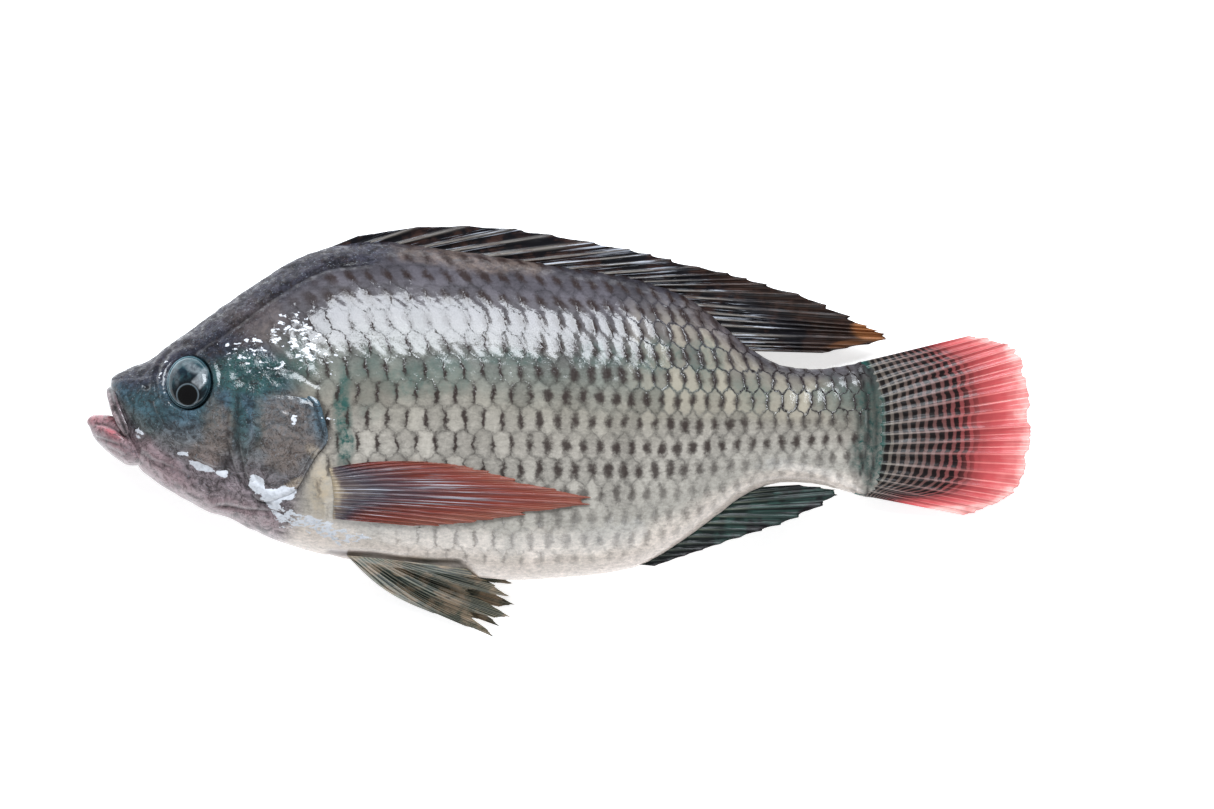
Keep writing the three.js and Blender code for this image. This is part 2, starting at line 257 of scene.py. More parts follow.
def make_tube(name: str, rings: Array, traits: Mapping[str, Array], flip: bool = False) -> bpy.types.Object:
    """A closed mesh through rings of points, with a value of each trait at every point.

    Args:
        name: Name of the object.
        rings: Points in millimetres: rings, points of a ring, coordinates.
        traits: Values for the materials to read, each with one value for each point.
        flip: Whether the faces have to be turned to face out.

    Returns:
        The object, linked to the scene and shaded smooth.
    """
    count, sides = rings.shape[:2]
    quads, fans = tube_faces(count, sides)
    ends = np.stack([rings[0].mean(axis=0), rings[-1].mean(axis=0)])
    points = np.concatenate([rings.reshape(-1, 3), ends]) * MM
    faces = quads + fans
    if flip:
        faces = [face[::-1] for face in faces]
    mesh = bpy.data.meshes.new(name)
    mesh.from_pydata(points.tolist(), [], faces)
    mesh.polygons.foreach_set("use_smooth", [True] * len(faces))
    for trait, values in traits.items():
        grid = np.broadcast_to(values, (count, sides))
        flat = np.concatenate([grid.ravel(), [grid[0].mean(), grid[-1].mean()]])
        layer = mesh.attributes.new(trait, "FLOAT", "POINT")
        layer.data.foreach_set("value", flat.astype(np.float32))
    mesh.update()
    shape = bpy.data.objects.new(name, mesh)
    bpy.context.scene.collection.objects.link(shape)
    return shape


def settle(piece: bpy.types.Object, material: bpy.types.Material, slot: str, *nodes: str) -> None:
    """Dresses a piece, sets it on the fish's one body and lets it stand for CAD nodes.

    Args:
        piece: The new piece.
        material: Its finish.
        slot: The material slot that the finish belongs to; not used.
        *nodes: The CAD nodes that the piece stands for.
    """
    piece.data.materials.clear()
    piece.data.materials.append(material)
    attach(piece, "root")
    if nodes:
        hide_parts(*nodes)
    LOG.info("%s: %d faces", piece.name, len(piece.data.polygons))


# ------------------------------------------------------------------ the fish's form


@dataclass(frozen=True)
class Form:
    """A body given by slanted sections, each with its end on the back and on the belly."""

    sections: Sequence[tuple[tuple[float, float], tuple[float, float], float]]
    widest_at: float = 0.48
    back_taper: float = 0.64
    belly_taper: float = 0.6
    middle: Line = (
        (-150, 16.0),
        (-120, 20.4),
        (-98, 22.6),
        (-74, 23.2),
        (-50, 21.4),
        (-20, 20.3),
        (10, 18.4),
        (40, 15.2),
        (70, 11.6),
        (100, 8.0),
        (125, 4.4),
        (150, 1.5),
    )

    def ends(self, share: Array) -> tuple[Array, Array, Array]:
        """The back end, the belly end and half the thickness of sections.

        Args:
            share: Which sections, 0 at the first and 1 at the last.

        Returns:
            Back ends, belly ends and half thicknesses.
        """
        top = curve([s[0] for s in self.sections], share)
        bottom = curve([s[1] for s in self.sections], share)
        half = curve([(s[2],) for s in self.sections], share)[..., 0]
        return top, bottom, np.maximum(half, 0)

    def middle_height(self, x: Array) -> Array:
        """Height of the fish's middle plane above the surface."""
        return profile(self.middle, x)

    def rings(self, share: Array, turn: Array, grow: float = 0.0) -> Array:
        """Points of the body's surface.

        Args:
            share: Which sections.
            turn: Angles round each section, 0 at the back and a quarter turn on the left.
            grow: How far the surface is moved out.

        Returns:
            Points, by section and angle.
        """
        top, bottom, half = self.ends(share)
        lengthen = (top - bottom) / np.linalg.norm(top - bottom, axis=-1, keepdims=True) * grow
        top, bottom = top + lengthen, bottom - lengthen
        middle = bottom + (top - bottom) * self.widest_at
        reach = np.cos(turn)[None, :, None]
        end = np.where(reach > 0, top[:, None], bottom[:, None])
        flat = middle[:, None] + (end - middle[:, None]) * np.abs(reach)
        side = np.sin(turn)
        taper = np.where(np.cos(turn) > 0, self.back_taper, self.belly_taper)
        bulge = np.sign(side) * np.abs(side) ** (2 * taper)
        height = self.middle_height(flat[..., 0]) + (half[:, None] + grow) * bulge[None]
        return np.concatenate([flat, height[..., None]], axis=-1)

    def section_at(self, x: Array, y: Array) -> tuple[Array, Array, Array]:
        """Finds the sections that run through places in the side view.

        Args:
            x: Places along the fish.
            y: Places across the fish.

        Returns:
            For each place, how far it lies from the widest part of its section to its end, 0
            to 1, whether it is above the widest part, and half the section's thickness.
        """
        low, high = np.zeros_like(x), np.ones_like(x)
        for _ in range(20):
            share = (low + high) / 2
            top, bottom, _ = self.ends(share)
            ahead = (x - bottom[..., 0]) * (top[..., 1] - bottom[..., 1])
            ahead -= (y - bottom[..., 1]) * (top[..., 0] - bottom[..., 0])
            low, high = np.where(ahead > 0, share, low), np.where(ahead > 0, high, share)
        top, bottom, half = self.ends((low + high) / 2)
        middle = bottom + (top - bottom) * self.widest_at
        upper = y > middle[..., 1]
        end = np.where(upper, top[..., 1], bottom[..., 1])
        return np.clip((y - middle[..., 1]) / (end - middle[..., 1]), 0, 1), upper, half

    def flank(self, x: Array, y: Array, side: Side) -> tuple[Array, Array]:
        """Heights of a flank at places in the side view.

        Args:
            x: Places along the fish.
            y: Places across the fish.
            side: Which flank.

        Returns:
            The heights, and the distance of each place from the middle plane.
        """
        reach, upper, half = self.section_at(x, y)
        taper = np.where(upper, self.back_taper, self.belly_taper)
        off = half * (1 - reach**2) ** taper
        return self.middle_height(x) + side.value * off, off

    def rise(self, x: Array, y: Array) -> Array:
        """Share of the way from the belly, 0, to the back, 1, at places in the side view."""
        reach, upper, _ = self.section_at(x, y)
        return self.widest_at + np.where(upper, (1 - self.widest_at) * reach, -self.widest_at * reach)


BODY = Form(
    sections=(
        ((-143.2, 14.6), (-143.2, 13.8), 0.5),
        ((-142.4, 16.8), (-142.5, 11.5), 3.4),
        ((-140.2, 18.4), (-141.4, 8.0), 5.8),
        ((-136.5, 19.9), (-139.6, 3.8), 7.9),
        ((-131.0, 22.1), (-137.0, -2.8), 9.8),
        ((-124.0, 27.0), (-131.5, -11.2), 12.6),
        ((-112.5, 35.8), (-120.5, -18.8), 16.2),
        ((-99.0, 45.5), (-106.0, -26.8), 19.2),
        ((-86.0, 53.3), (-91.0, -34.2), 21.2),
        ((-72.0, 58.6), (-75.0, -39.2), 22.4),
        ((-56.0, 60.0), (-58.0, -42.4), 22.8),
        ((-36.0, 57.8), (-37.0, -45.4), 22.7),
        ((-14.0, 54.7), (-14.0, -47.1), 21.8),
        ((8.0, 51.0), (8.0, -45.8), 20.0),
        ((27.0, 47.4), (25.0, -42.6), 17.8),
        ((41.0, 42.0), (38.0, -35.0), 15.6),
        ((51.0, 34.4), (49.5, -26.8), 13.4),
        ((60.0, 26.6), (59.5, -19.8), 11.3),
        ((69.0, 21.2), (69.0, -16.4), 9.6),
        ((80.0, 19.4), (80.0, -16.4), 8.0),
        ((90.0, 20.4), (90.0, -18.4), 6.4),
        ((97.5, 22.3), (97.0, -20.6), 4.6),
        ((103.0, 22.6), (102.5, -21.0), 2.6),
    )
)
JAW = Form(
    sections=(
        ((-149.9, 3.0), (-149.9, 2.4), 0.5),
        ((-149.2, 4.4), (-149.5, -0.6), 3.4),
        ((-147.0, 4.9), (-147.6, -3.4), 5.6),
        ((-143.5, 4.6), (-144.2, -6.6), 7.4),
        ((-139.8, 3.2), (-139.6, -9.8), 9.0),
        ((-135.5, -0.5), (-133.4, -13.4), 10.6),
        ((-129.0, -5.5), (-125.6, -17.6), 12.0),
        ((-121.0, -11.5), (-117.6, -21.4), 12.6),
    )
)


@dataclass(frozen=True)
class ScaleRows:
    """Rows of overlapping scales, each row staggered by half a scale against the next.

    What shows of a scale is a tall six-sided cell. Places are given as the number of scales
    along the fish and of rows across it, and a cell's side seams stand at whole numbers.
    """

    seam: float = 0.30  # half height of a cell's upright side seams, in rows
    lean: float = 0.56  # how far the cells on the back lean forward, in scales for each row
    lean_from: float = 2.4  # the row above which they lean
    pitch: Line = ((-90, 6.2), (-30, 6.0), (0, 5.6), (20, 4.9), (60, 4.8), (105, 4.4))
    row_gap: Line = ((-90, 7.6), (0, 7.8), (40, 7.2), (70, 6.6), (105, 5.6))
    middle_row: Line = ((-90, -1.0), (0, -2.6), (40, -3.4), (80, -1.5), (105, -0.5))

    def along(self, x: Array, across: Array) -> Array:
        """The number of scales from the middle of the fish to each place.

        Args:
            x: Places along the fish.
            across: Places in rows across the fish.

        Returns:
            A number of scales for each place.
        """
        steps = np.linspace(-150, 110, 521)
        count = np.concatenate([[0], np.cumsum(0.5 / profile(self.pitch, steps[:-1] + 0.25))])
        count = np.interp(x, steps, count) - np.interp(0.0, steps, count) + 0.35
        above = across - self.lean_from
        return count + self.lean * np.where(above > 0, above**2 / (np.abs(above) + 1.0), 0.0)

    def cells(self, along: Array, across: Array) -> tuple[Array, Array]:
        """Where each place lies in the cell that it belongs to.

        Args:
            along: Places in scales along the fish.
            across: Places in rows across the fish.

        Returns:
            The place along its cell, -0.5 at the front seam and 0.5 at the rear one, and the
            distance from the nearest seam, in scales.
        """
        low = np.floor(across)
        off = across - low
        odd = np.mod(low, 2) / 2
        beside = np.abs(np.mod(along - odd + 0.5, 1) - 0.5)
        edge = 0.5 * np.clip((off - self.seam) / (1 - 2 * self.seam), 0, 1)
        stagger = np.where(beside > edge, odd, 0.5 - odd)
        return np.mod(along - stagger, 1) - 0.5, np.abs(beside - edge)

    def draw(self, paint: "Paint", along: Any, across: Any) -> dict[str, Any]:
        """The same places worked out in a material, so that the seams stay sharp.

        Args:
            paint: The material that is being made.
            along: Socket with the place in scales along the fish.
            across: Socket with the place in rows across the fish.

        Returns:
            Sockets: inside and seam as cells gives them, upright, which is 1 at upright seams
            and 0 at slanting ones, number and row, which name the cell, and beside and off,
            the distance from the nearest crossing of a row and a seam.
        """
        add, out = paint.add, {}
        low = add("Math:FLOOR", (across,))
        off = add("Math:SUBTRACT", (across, low))
        odd = add("Math:MULTIPLY", (add("Math:FLOORED_MODULO", (low, 2.0)), 0.5))
        shifted = add("Math:ADD", (add("Math:SUBTRACT", (along, odd)), 0.5))
        beside = add("Math:ABSOLUTE", (add("Math:SUBTRACT", (add("Math:FRACT", (shifted,)), 0.5)),))
        edge = add("MapRange:SMOOTHSTEP", (off, self.seam, 1 - self.seam, 0.0, 0.5))
        gap = add("Math:SUBTRACT", (beside, edge))
        out["seam"] = add("Math:ABSOLUTE", (gap,))
        middle = add("Math:ABSOLUTE", (add("Math:SUBTRACT", (off, 0.5)),))
        out["upright"] = add("MapRange:SMOOTHSTEP", (middle, 0.08, 0.5 - self.seam + 0.06))
        in_low = add("Math:GREATER_THAN", (gap, 0.0))
        other = add("Math:SUBTRACT", (0.5, odd))
        stagger = paint.add("Mix:FLOAT", {0: in_low, 2: other, 3: odd})
        counted = add("Math:SUBTRACT", (along, stagger))
        out["number"] = add("Math:FLOOR", (counted,))
        out["inside"] = add("Math:SUBTRACT", (add("Math:FRACT", (counted,)), 0.5))
        out["row"] = add("Math:SUBTRACT", (add("Math:ADD", (low, 1.0)), in_low))
        near = add("Math:FLOOR", (add("Math:ADD", (across, 0.5)),))
        out["off"] = add("Math:SUBTRACT", (across, near))
        odd = add("Math:MULTIPLY", (add("Math:FLOORED_MODULO", (near, 2.0)), 0.5))
        shifted = add("Math:ADD", (add("Math:SUBTRACT", (along, odd)), 0.5))
        out["beside"] = add("Math:SUBTRACT", (add("Math:FRACT", (shifted,)), 0.5))
        return out


SCALES = ScaleRows()


# ------------------------------------------------------------------ finishes


def linear(colour: str) -> tuple[float, float, float, float]:
    """The linear colour and full alpha of an sRGB hex value such as "#8c8d80".

    Args:
        colour: The hex value.

    Returns:
        Red, green, blue and alpha, from 0 to 1.
    """
    parts = [int(colour[i : i + 2], 16) / 255 for i in (1, 3, 5)]
    red, green, blue = [c / 12.92 if c <= 0.04045 else ((c + 0.055) / 1.055) ** 2.4 for c in parts]
    return red, green, blue, 1.0


MODES = {  # the setting that says what a node does
    "Math": "operation",
    "VectorMath": "operation",
    "MapRange": "interpolation_type",
    "Mix": "data_type",
}


class Paint:
    """A node material under construction."""

    def __init__(self, name: str) -> None:
        """Starts an empty material.

        Args:
            name: Name of the finish.
        """
        self.material = bpy.data.materials.new(name)
        self.material.use_nodes = True
        self.material.node_tree.nodes.clear()

    def add(
        self,
        kind: str,
        links: Mapping[int | str, Any] | Sequence[Any],
        out: int = 0,
        ramp: Ramp = (),
        **settings: Any,
    ) -> Any:
        """Adds one node with its settings and links.

        Args:
            kind: The node's type without its ShaderNode prefix, and after a colon its mode.
            links: What goes into each input, a socket or a plain value: by the input's
                number or name, or in a row from the first input on.
            out: Which output to hand back.
            ramp: Colour stops, for a colour ramp.
            **settings: Properties of the node.

        Returns:
            The chosen output socket, or the node itself if it has none.
        """
        tree = self.material.node_tree
        kind, _, mode = kind.partition(":")
        node = tree.nodes.new("ShaderNode" + kind)
        if mode:
            setattr(node, MODES[kind], mode)
        for name, value in settings.items():
            setattr(node, name, value)
        for _ in ramp[2:]:
            node.color_ramp.elements.new(0.5)
        for stop, (place, colour) in zip(node.color_ramp.elements if ramp else (), ramp):
            stop.position = place
            stop.color = linear(colour)
        if mode == "RGBA":
            out = 2  # a Mix node has a colour output of its own
        for key, value in links.items() if isinstance(links, Mapping) else enumerate(links):
            if isinstance(value, bpy.types.NodeSocket):
                tree.links.new(value, node.inputs[key])
            else:
                node.inputs[key].default_value = linear(value) if isinstance(value, str) else value
        return node.outputs[out] if len(node.outputs) else node

    def place(self) -> Any:
        """The place on the fish, in millimetres."""
        metres = self.add("TexCoord", (), out=3)
        return self.add("VectorMath:SCALE", {0: metres, "Scale": 1 / MM})

    def finish(self, colour: Any, bump: Any, **gloss: Any) -> bpy.types.Material:
        """Closes the material with its shader.

        Args:
            colour: Socket or hex value of the base colour.
            bump: Socket with the surface's normal.
            **gloss: The shader's other inputs, by name with _ for each space.

        Returns:
            The finished material.
        """
        inputs = {"Base Color": colour, "Normal": bump, "Coat Normal": bump}
        inputs.update({name.replace("_", " "): value for name, value in gloss.items()})
        shader = self.add("BsdfPrincipled", inputs)
        self.add("OutputMaterial", {"Surface": shader})
        return self.material


@dataclass(frozen=True)
class ScaledSkin:
    """Tilapia skin, wet: overlapping bony scales under a film of slime, bare on the head.

    The slime is a thin clear coat that mirrors the lights in sharp broken glints, and the
    scales under it are satin, pale in the middle with brown pigment where they overlap.
    Pale films and flecks are painted highlights, and creases get painted shade.
    """

    name: str = "wet_tilapia_skin"
    belly_to_back: Ramp = (
        (0.0, "#dccfc5"),
        (0.07, "#cbc1b7"),
        (0.16, "#9c9890"),
        (0.42, "#87827a"),
        (0.54, "#757168"),
        (0.64, "#5d605a"),
        (0.74, "#545250"),
        (0.82, "#474446"),
        (0.90, "#4a474c"),
        (1.0, "#2a282d"),
    )
    throat_to_crown: Ramp = (
        (0.0, "#9a8c8e"),
        (0.14, "#746a6e"),
        (0.28, "#585859"),
        (0.45, "#3b4f5a"),
        (0.62, "#2f404a"),
        (0.80, "#2a2d37"),
        (1.0, "#2b2a32"),
    )
    teal: str = "#254b46"
    brown: str = "#75655b"
    # colour of the painted highlights: pale films and flecks on the wet skin
    painted_shine: str = "#cfd2d8"
    blush: str = "#a1868a"
    cream: str = "#b5a58d"
    lip: str = "#a75f65"
    pigment: str = "#281d1b"
    oval: str = "#a39a89"
    line: str = "#251e1f"
    dust: str = "#7d8790"
    # colour of the painted shade in creases, pits and under the gill cover's edge
    dark: str = "#0f0b0d"  # in creases
    dim_shine: str = "#8a9097"  # duller parts of the painted highlight films
    traits: Sequence[str] = (  # values that the mesh holds at its points
        "along", "across", "scaled", "tone", "head", "teal", "brown", "painted_shine", "blush", "cream", "lip",
        "glint", "spots", "slim", "lines", "ovals", "dry", "crinkle", "shade",
    )

    def make(self) -> bpy.types.Material:
        """The skin as a node material.

        Returns:
            The finished material.
        """
        paint = Paint(self.name)
        add = paint.add
        trait = {name: add("Attribute", (), out=2, attribute_name=name) for name in self.traits}
        place = paint.place()
        blotch = add("TexNoise", {"Vector": place, "Scale": 1 / 14, "Detail": 4.0, "Roughness": 0.6})
        speck = add("TexNoise", {"Vector": place, "Scale": 1 / 1.4, "Detail": 4.0, "Roughness": 0.7})
        wobble = add("TexNoise", {"Vector": place, "Scale": 1 / 3.0, "Detail": 3.0, "Roughness": 0.6}, out=1)
        wobble = add("SeparateXYZ", (wobble,))
        along = add("Math:MULTIPLY_ADD", (wobble, 0.55, trait["along"]))
        across = add("Math:MULTIPLY_ADD", (wobble.node.outputs[1], 0.50, trait["across"]))
        scale = SCALES.draw(paint, along, across)
        scaled = trait["scaled"]

        # Base tones, from belly to back, with soft blotches.
        tone = add("Math:MULTIPLY_ADD", (blotch, 0.16, trait["tone"]))
        tone = add("Math:SUBTRACT", (tone, 0.08))
        flank = add("ValToRGB", (tone,), ramp=self.belly_to_back)
        face = add("ValToRGB", (tone,), ramp=self.throat_to_crown)
        colour = add("Mix:RGBA", {0: trait["head"], 6: flank, 7: face})

        # Each scale has its own shade and fine fibres along the fish, about 0.8 mm apart.
        own = add("TexWhiteNoise", {"Vector": add("CombineXYZ", (scale["number"], scale["row"]))})
        fibre = add("CombineXYZ", (add("Math:MULTIPLY", (along, 1.6)), add("Math:MULTIPLY", (across, 9.0))))
        fibre = add("TexNoise", {"Vector": fibre, "Scale": 1.0, "Detail": 4.0, "Roughness": 0.7})
        owned = add(
            "Math:MULTIPLY_ADD",
            (add("Math:MULTIPLY", (add("Math:SUBTRACT", (own, 0.5)), trait["spots"])), 0.5, 0.25),
        )
        light = add("Math:ADD", (owned, add("Math:ADD", (fibre, speck))))
        light = add("MapRange", (light, 0.85, 1.65, 0.58, 1.42))
        paler = add("MapRange:SMOOTHSTEP", (scale["seam"], 0.06, 0.34, -0.1, 0.2))
        paler = add("Math:MULTIPLY_ADD", (paler, add("Math:MULTIPLY", (scaled, trait["spots"])), light))
        colour = add(
            "Mix:RGBA",
            {0: 1.0, 6: colour, 7: add("CombineColor", (paler, paler, paler))},
            blend_type="MULTIPLY",
        )

        # The head is mottled, dark over light, in lumps of about 4 mm that run into streaks.
        mottle = add(
            "TexNoise",
            {"Vector": place, "Scale": 1 / 4.2, "Detail": 6.0, "Roughness": 0.68, "Distortion": 1.1},
        )
        mottled = add("MapRange", (mottle, 0.39, 0.61, 0.38, 1.62))
        mottled = add("Mix:FLOAT", {0: trait["head"], 2: 1.0, 3: mottled})
        colour = add(
            "Mix:RGBA",
            {0: 1.0, 6: colour, 7: add("CombineColor", (mottled, mottled, mottled))},
            blend_type="MULTIPLY",
        )

        # Towards the tail the scales above the middle are cream ovals, some paler than others.
        pale = add("MapRange", (own, 0.1, 0.9, 0.25, 1.0))
        pale = add("Math:MULTIPLY", (pale, add("MapRange:SMOOTHSTEP", (scale["seam"], 0.05, 0.22))))
        colour = add("Mix:RGBA", {0: add("Math:MULTIPLY", (pale, trait["ovals"])), 6: colour, 7: self.oval})

        # Tints that lie on the skin in ragged patches.
        rough = add("MapRange", (add("Math:ADD", (speck, mottle)), 0.75, 1.25, 0.2, 1.3))
        for key, over, most in (
            ("teal", self.teal, 0.9),
            ("brown", self.brown, 0.8),
            ("blush", self.blush, 0.8),
            ("cream", self.cream, 0.9),
            ("lip", self.lip, 1.0),
        ):
            mask = add("Math:MULTIPLY", (add("Math:MULTIPLY", (rough, trait[key])), most), use_clamp=True)
            colour = add("Mix:RGBA", {0: mask, 6: colour, 7: over})

        # Dark seams between scales, broken here and there, and brown pigment at the side seams.
        width = add("Math:MULTIPLY_ADD", (trait["lines"], 0.12, 0.03))
        line = add("MapRange:SMOOTHSTEP", (scale["seam"], 0.0, width, 1.0, 0.0))
        line = add("Math:MULTIPLY", (line, add("MapRange:SMOOTHSTEP", (speck, 0.38, 0.55, 0.2, 1.0))))
        line = add("Math:MULTIPLY", (line, add("Math:MULTIPLY", (trait["lines"], 1.3))))
        slant = add("MapRange", (trait["lines"], 0.45, 0.8, 0.35, 1.0))
        drawn = add("MapRange", (scale["upright"], 0.0, 1.0, slant, 1.0))
        line = add("Math:MULTIPLY", (line, drawn))
        line = add("Math:MULTIPLY", (line, scaled), use_clamp=True)
        colour = add("Mix:RGBA", {0: line, 6: colour, 7: self.line})
        wide = add("MapRange", (trait["slim"], 0.0, 1.0, 0.32, 0.115))
        tall = add("MapRange", (trait["slim"], 0.0, 1.0, 0.35, 0.44))
        leaning = add(
            "Math:MULTIPLY_ADD", (add("Math:MULTIPLY", (scale["off"], trait["dry"])), 0.35, scale["beside"])
        )
        reach = add(
            "CombineXYZ", (add("Math:DIVIDE", (leaning, wide)), add("Math:DIVIDE", (scale["off"], tall)))
        )
        reach = add("VectorMath:LENGTH", (reach,), out=1)
        uneven = add("Math:ADD", (add("Math:ADD", (speck, speck)), add("Math:SUBTRACT", (fibre, 1.5))))
        uneven = add("Math:MULTIPLY", (uneven, add("Math:MULTIPLY_ADD", (trait["slim"], 0.4, 0.45))))
        uneven = add("Math:ADD", (uneven, add("MapRange:SMOOTHSTEP", (blotch, 0.35, 0.65, -0.15, 0.25))))
        reach = add("Math:ADD", (reach, uneven))
        spot = add("MapRange:SMOOTHSTEP", (reach, 0.30, 1.4, 0.88, 0.0))
        spot = add("Math:MULTIPLY", (add("Math:MULTIPLY", (spot, trait["spots"])), scaled), use_clamp=True)
        colour = add("Mix:RGBA", {0: spot, 6: colour, 7: self.pigment})

        # Fine dark veins on the head run where a lumpy pattern crosses its middle value.
        vein = add(
            "TexNoise",
            {"Vector": place, "Scale": 1 / 5.5, "Detail": 7.0, "Roughness": 0.62, "Distortion": 1.6},
        )
        vein = add(
            "MapRange:SMOOTHSTEP",
            (add("Math:ABSOLUTE", (add("Math:SUBTRACT", (vein, 0.5)),)), 0.0, 0.022, 0.8, 0.0),
        )
        colour = add("Mix:RGBA", {0: add("Math:MULTIPLY", (vein, trait["head"])), 6: colour, 7: self.pigment})

        # Freckles on the head, and painted shade in creases.
        freckle = add("MapRange:SMOOTHSTEP", (speck, 0.56, 0.68, 0.0, 0.6))
        colour = add(
            "Mix:RGBA", {0: add("Math:MULTIPLY", (freckle, trait["head"])), 6: colour, 7: self.pigment}
        )
        grit = add("TexNoise", {"Vector": place, "Scale": 1 / 0.7, "Detail": 2.0, "Roughness": 0.6})
        dust = add("Math:MULTIPLY", (add("MapRange:SMOOTHSTEP", (grit, 0.62, 0.72, 0.0, 0.5)), trait["head"]))
        colour = add("Mix:RGBA", {0: dust, 6: colour, 7: self.dust})
        colour = add("Mix:RGBA", {0: trait["shade"], 6: colour, 7: self.dark})

        # Painted highlights: pale films with torn edges, and flecks of the same about 1.5 mm long, where the
        # wet skin would mirror the lights.
        slanted = add("Mapping", {0: place, 2: (0.0, 0.0, 0.9), 3: (0.5, 1.0, 0.5)})
        fleck = add("TexNoise", {"Vector": slanted, "Scale": 1 / 1.25, "Detail": 3.0, "Roughness": 0.6})
        torn = add("Math:ADD", (trait["painted_shine"], add("Math:MULTIPLY_ADD", (fleck, 2.2, -1.1))))
        torn = add("Math:ADD", (torn, add("Math:MULTIPLY_ADD", (mottle, 1.2, -0.6))))
        film_tone = add(
            "Mix:RGBA",
            {0: add("MapRange:SMOOTHSTEP", (speck, 0.46, 0.64, 0.0, 0.4)), 6: self.painted_shine, 7: self.dim_shine},
        )
        torn = add(
            "Math:MULTIPLY",
            (
                add("MapRange:SMOOTHSTEP", (torn, 0.46, 0.54)),
                add("MapRange:SMOOTHSTEP", (trait["painted_shine"], 0.05, 0.25)),
            ),
        )
        colour = add("Mix:RGBA", {0: torn, 6: colour, 7: film_tone})
        fleck = add("Math:ADD", (fleck, add("Math:MULTIPLY_ADD", (trait["glint"], 0.33, -0.33))))
        colour = add(
            "Mix:RGBA", {0: add("MapRange:SMOOTHSTEP", (fleck, 0.54, 0.575)), 6: colour, 7: self.painted_shine}
        )

        # Relief too fine for the mesh: seams, fibres, and the wrinkled slime.
        groove = add(
            "Math:MULTIPLY", (add("MapRange:SMOOTHSTEP", (scale["seam"], 0.0, 0.09, -1.2, 0.0)), drawn)
        )
        groove = add(
            "Math:MULTIPLY", (groove, add("Math:MULTIPLY_ADD", (trait["lines"], 1.6, 0.12), use_clamp=True))
        )
        ramp = add("Math:MULTIPLY_ADD", (scale["inside"], 0.9, groove))
        ramp = add("Math:MULTIPLY", (ramp, scaled))
        wrinkle = add("TexNoise", {"Vector": place, "Scale": 1 / 1.3, "Detail": 3.0, "Distortion": 1.2})
        height = add("Math:MULTIPLY_ADD", (add("Math:MULTIPLY", (wrinkle, trait["crinkle"])), 3.0, ramp))
        height = add("Math:MULTIPLY_ADD", (fibre, 0.35, height))
        height = add("Math:MULTIPLY_ADD", (speck, 0.45, height))
        bump = add("Bump", {"Strength": 1.0, "Distance": 0.15 * MM, "Height": height})
        film = add("Bump", {"Strength": 1.0, "Distance": 0.07 * MM, "Height": height})
        satin = add("MapRange", (speck, 0.3, 0.7, 0.34, 0.55))
        # The slime has dried in patches on the crown and the back.
        dry = add("Math:ADD", (trait["dry"], add("Math:MULTIPLY_ADD", (fleck, 1.2, -0.6))))
        wet = add("MapRange:SMOOTHSTEP", (dry, 0.35, 0.65, 1.0, 0.22))
        return paint.finish(
            colour,
            bump,
            Coat_Normal=film,
            Roughness=satin,
            IOR=1.42,
            Specular_IOR_Level=0.07,
            Coat_Weight=wet,
            Coat_Roughness=0.09,
            Coat_IOR=1.45,
        )


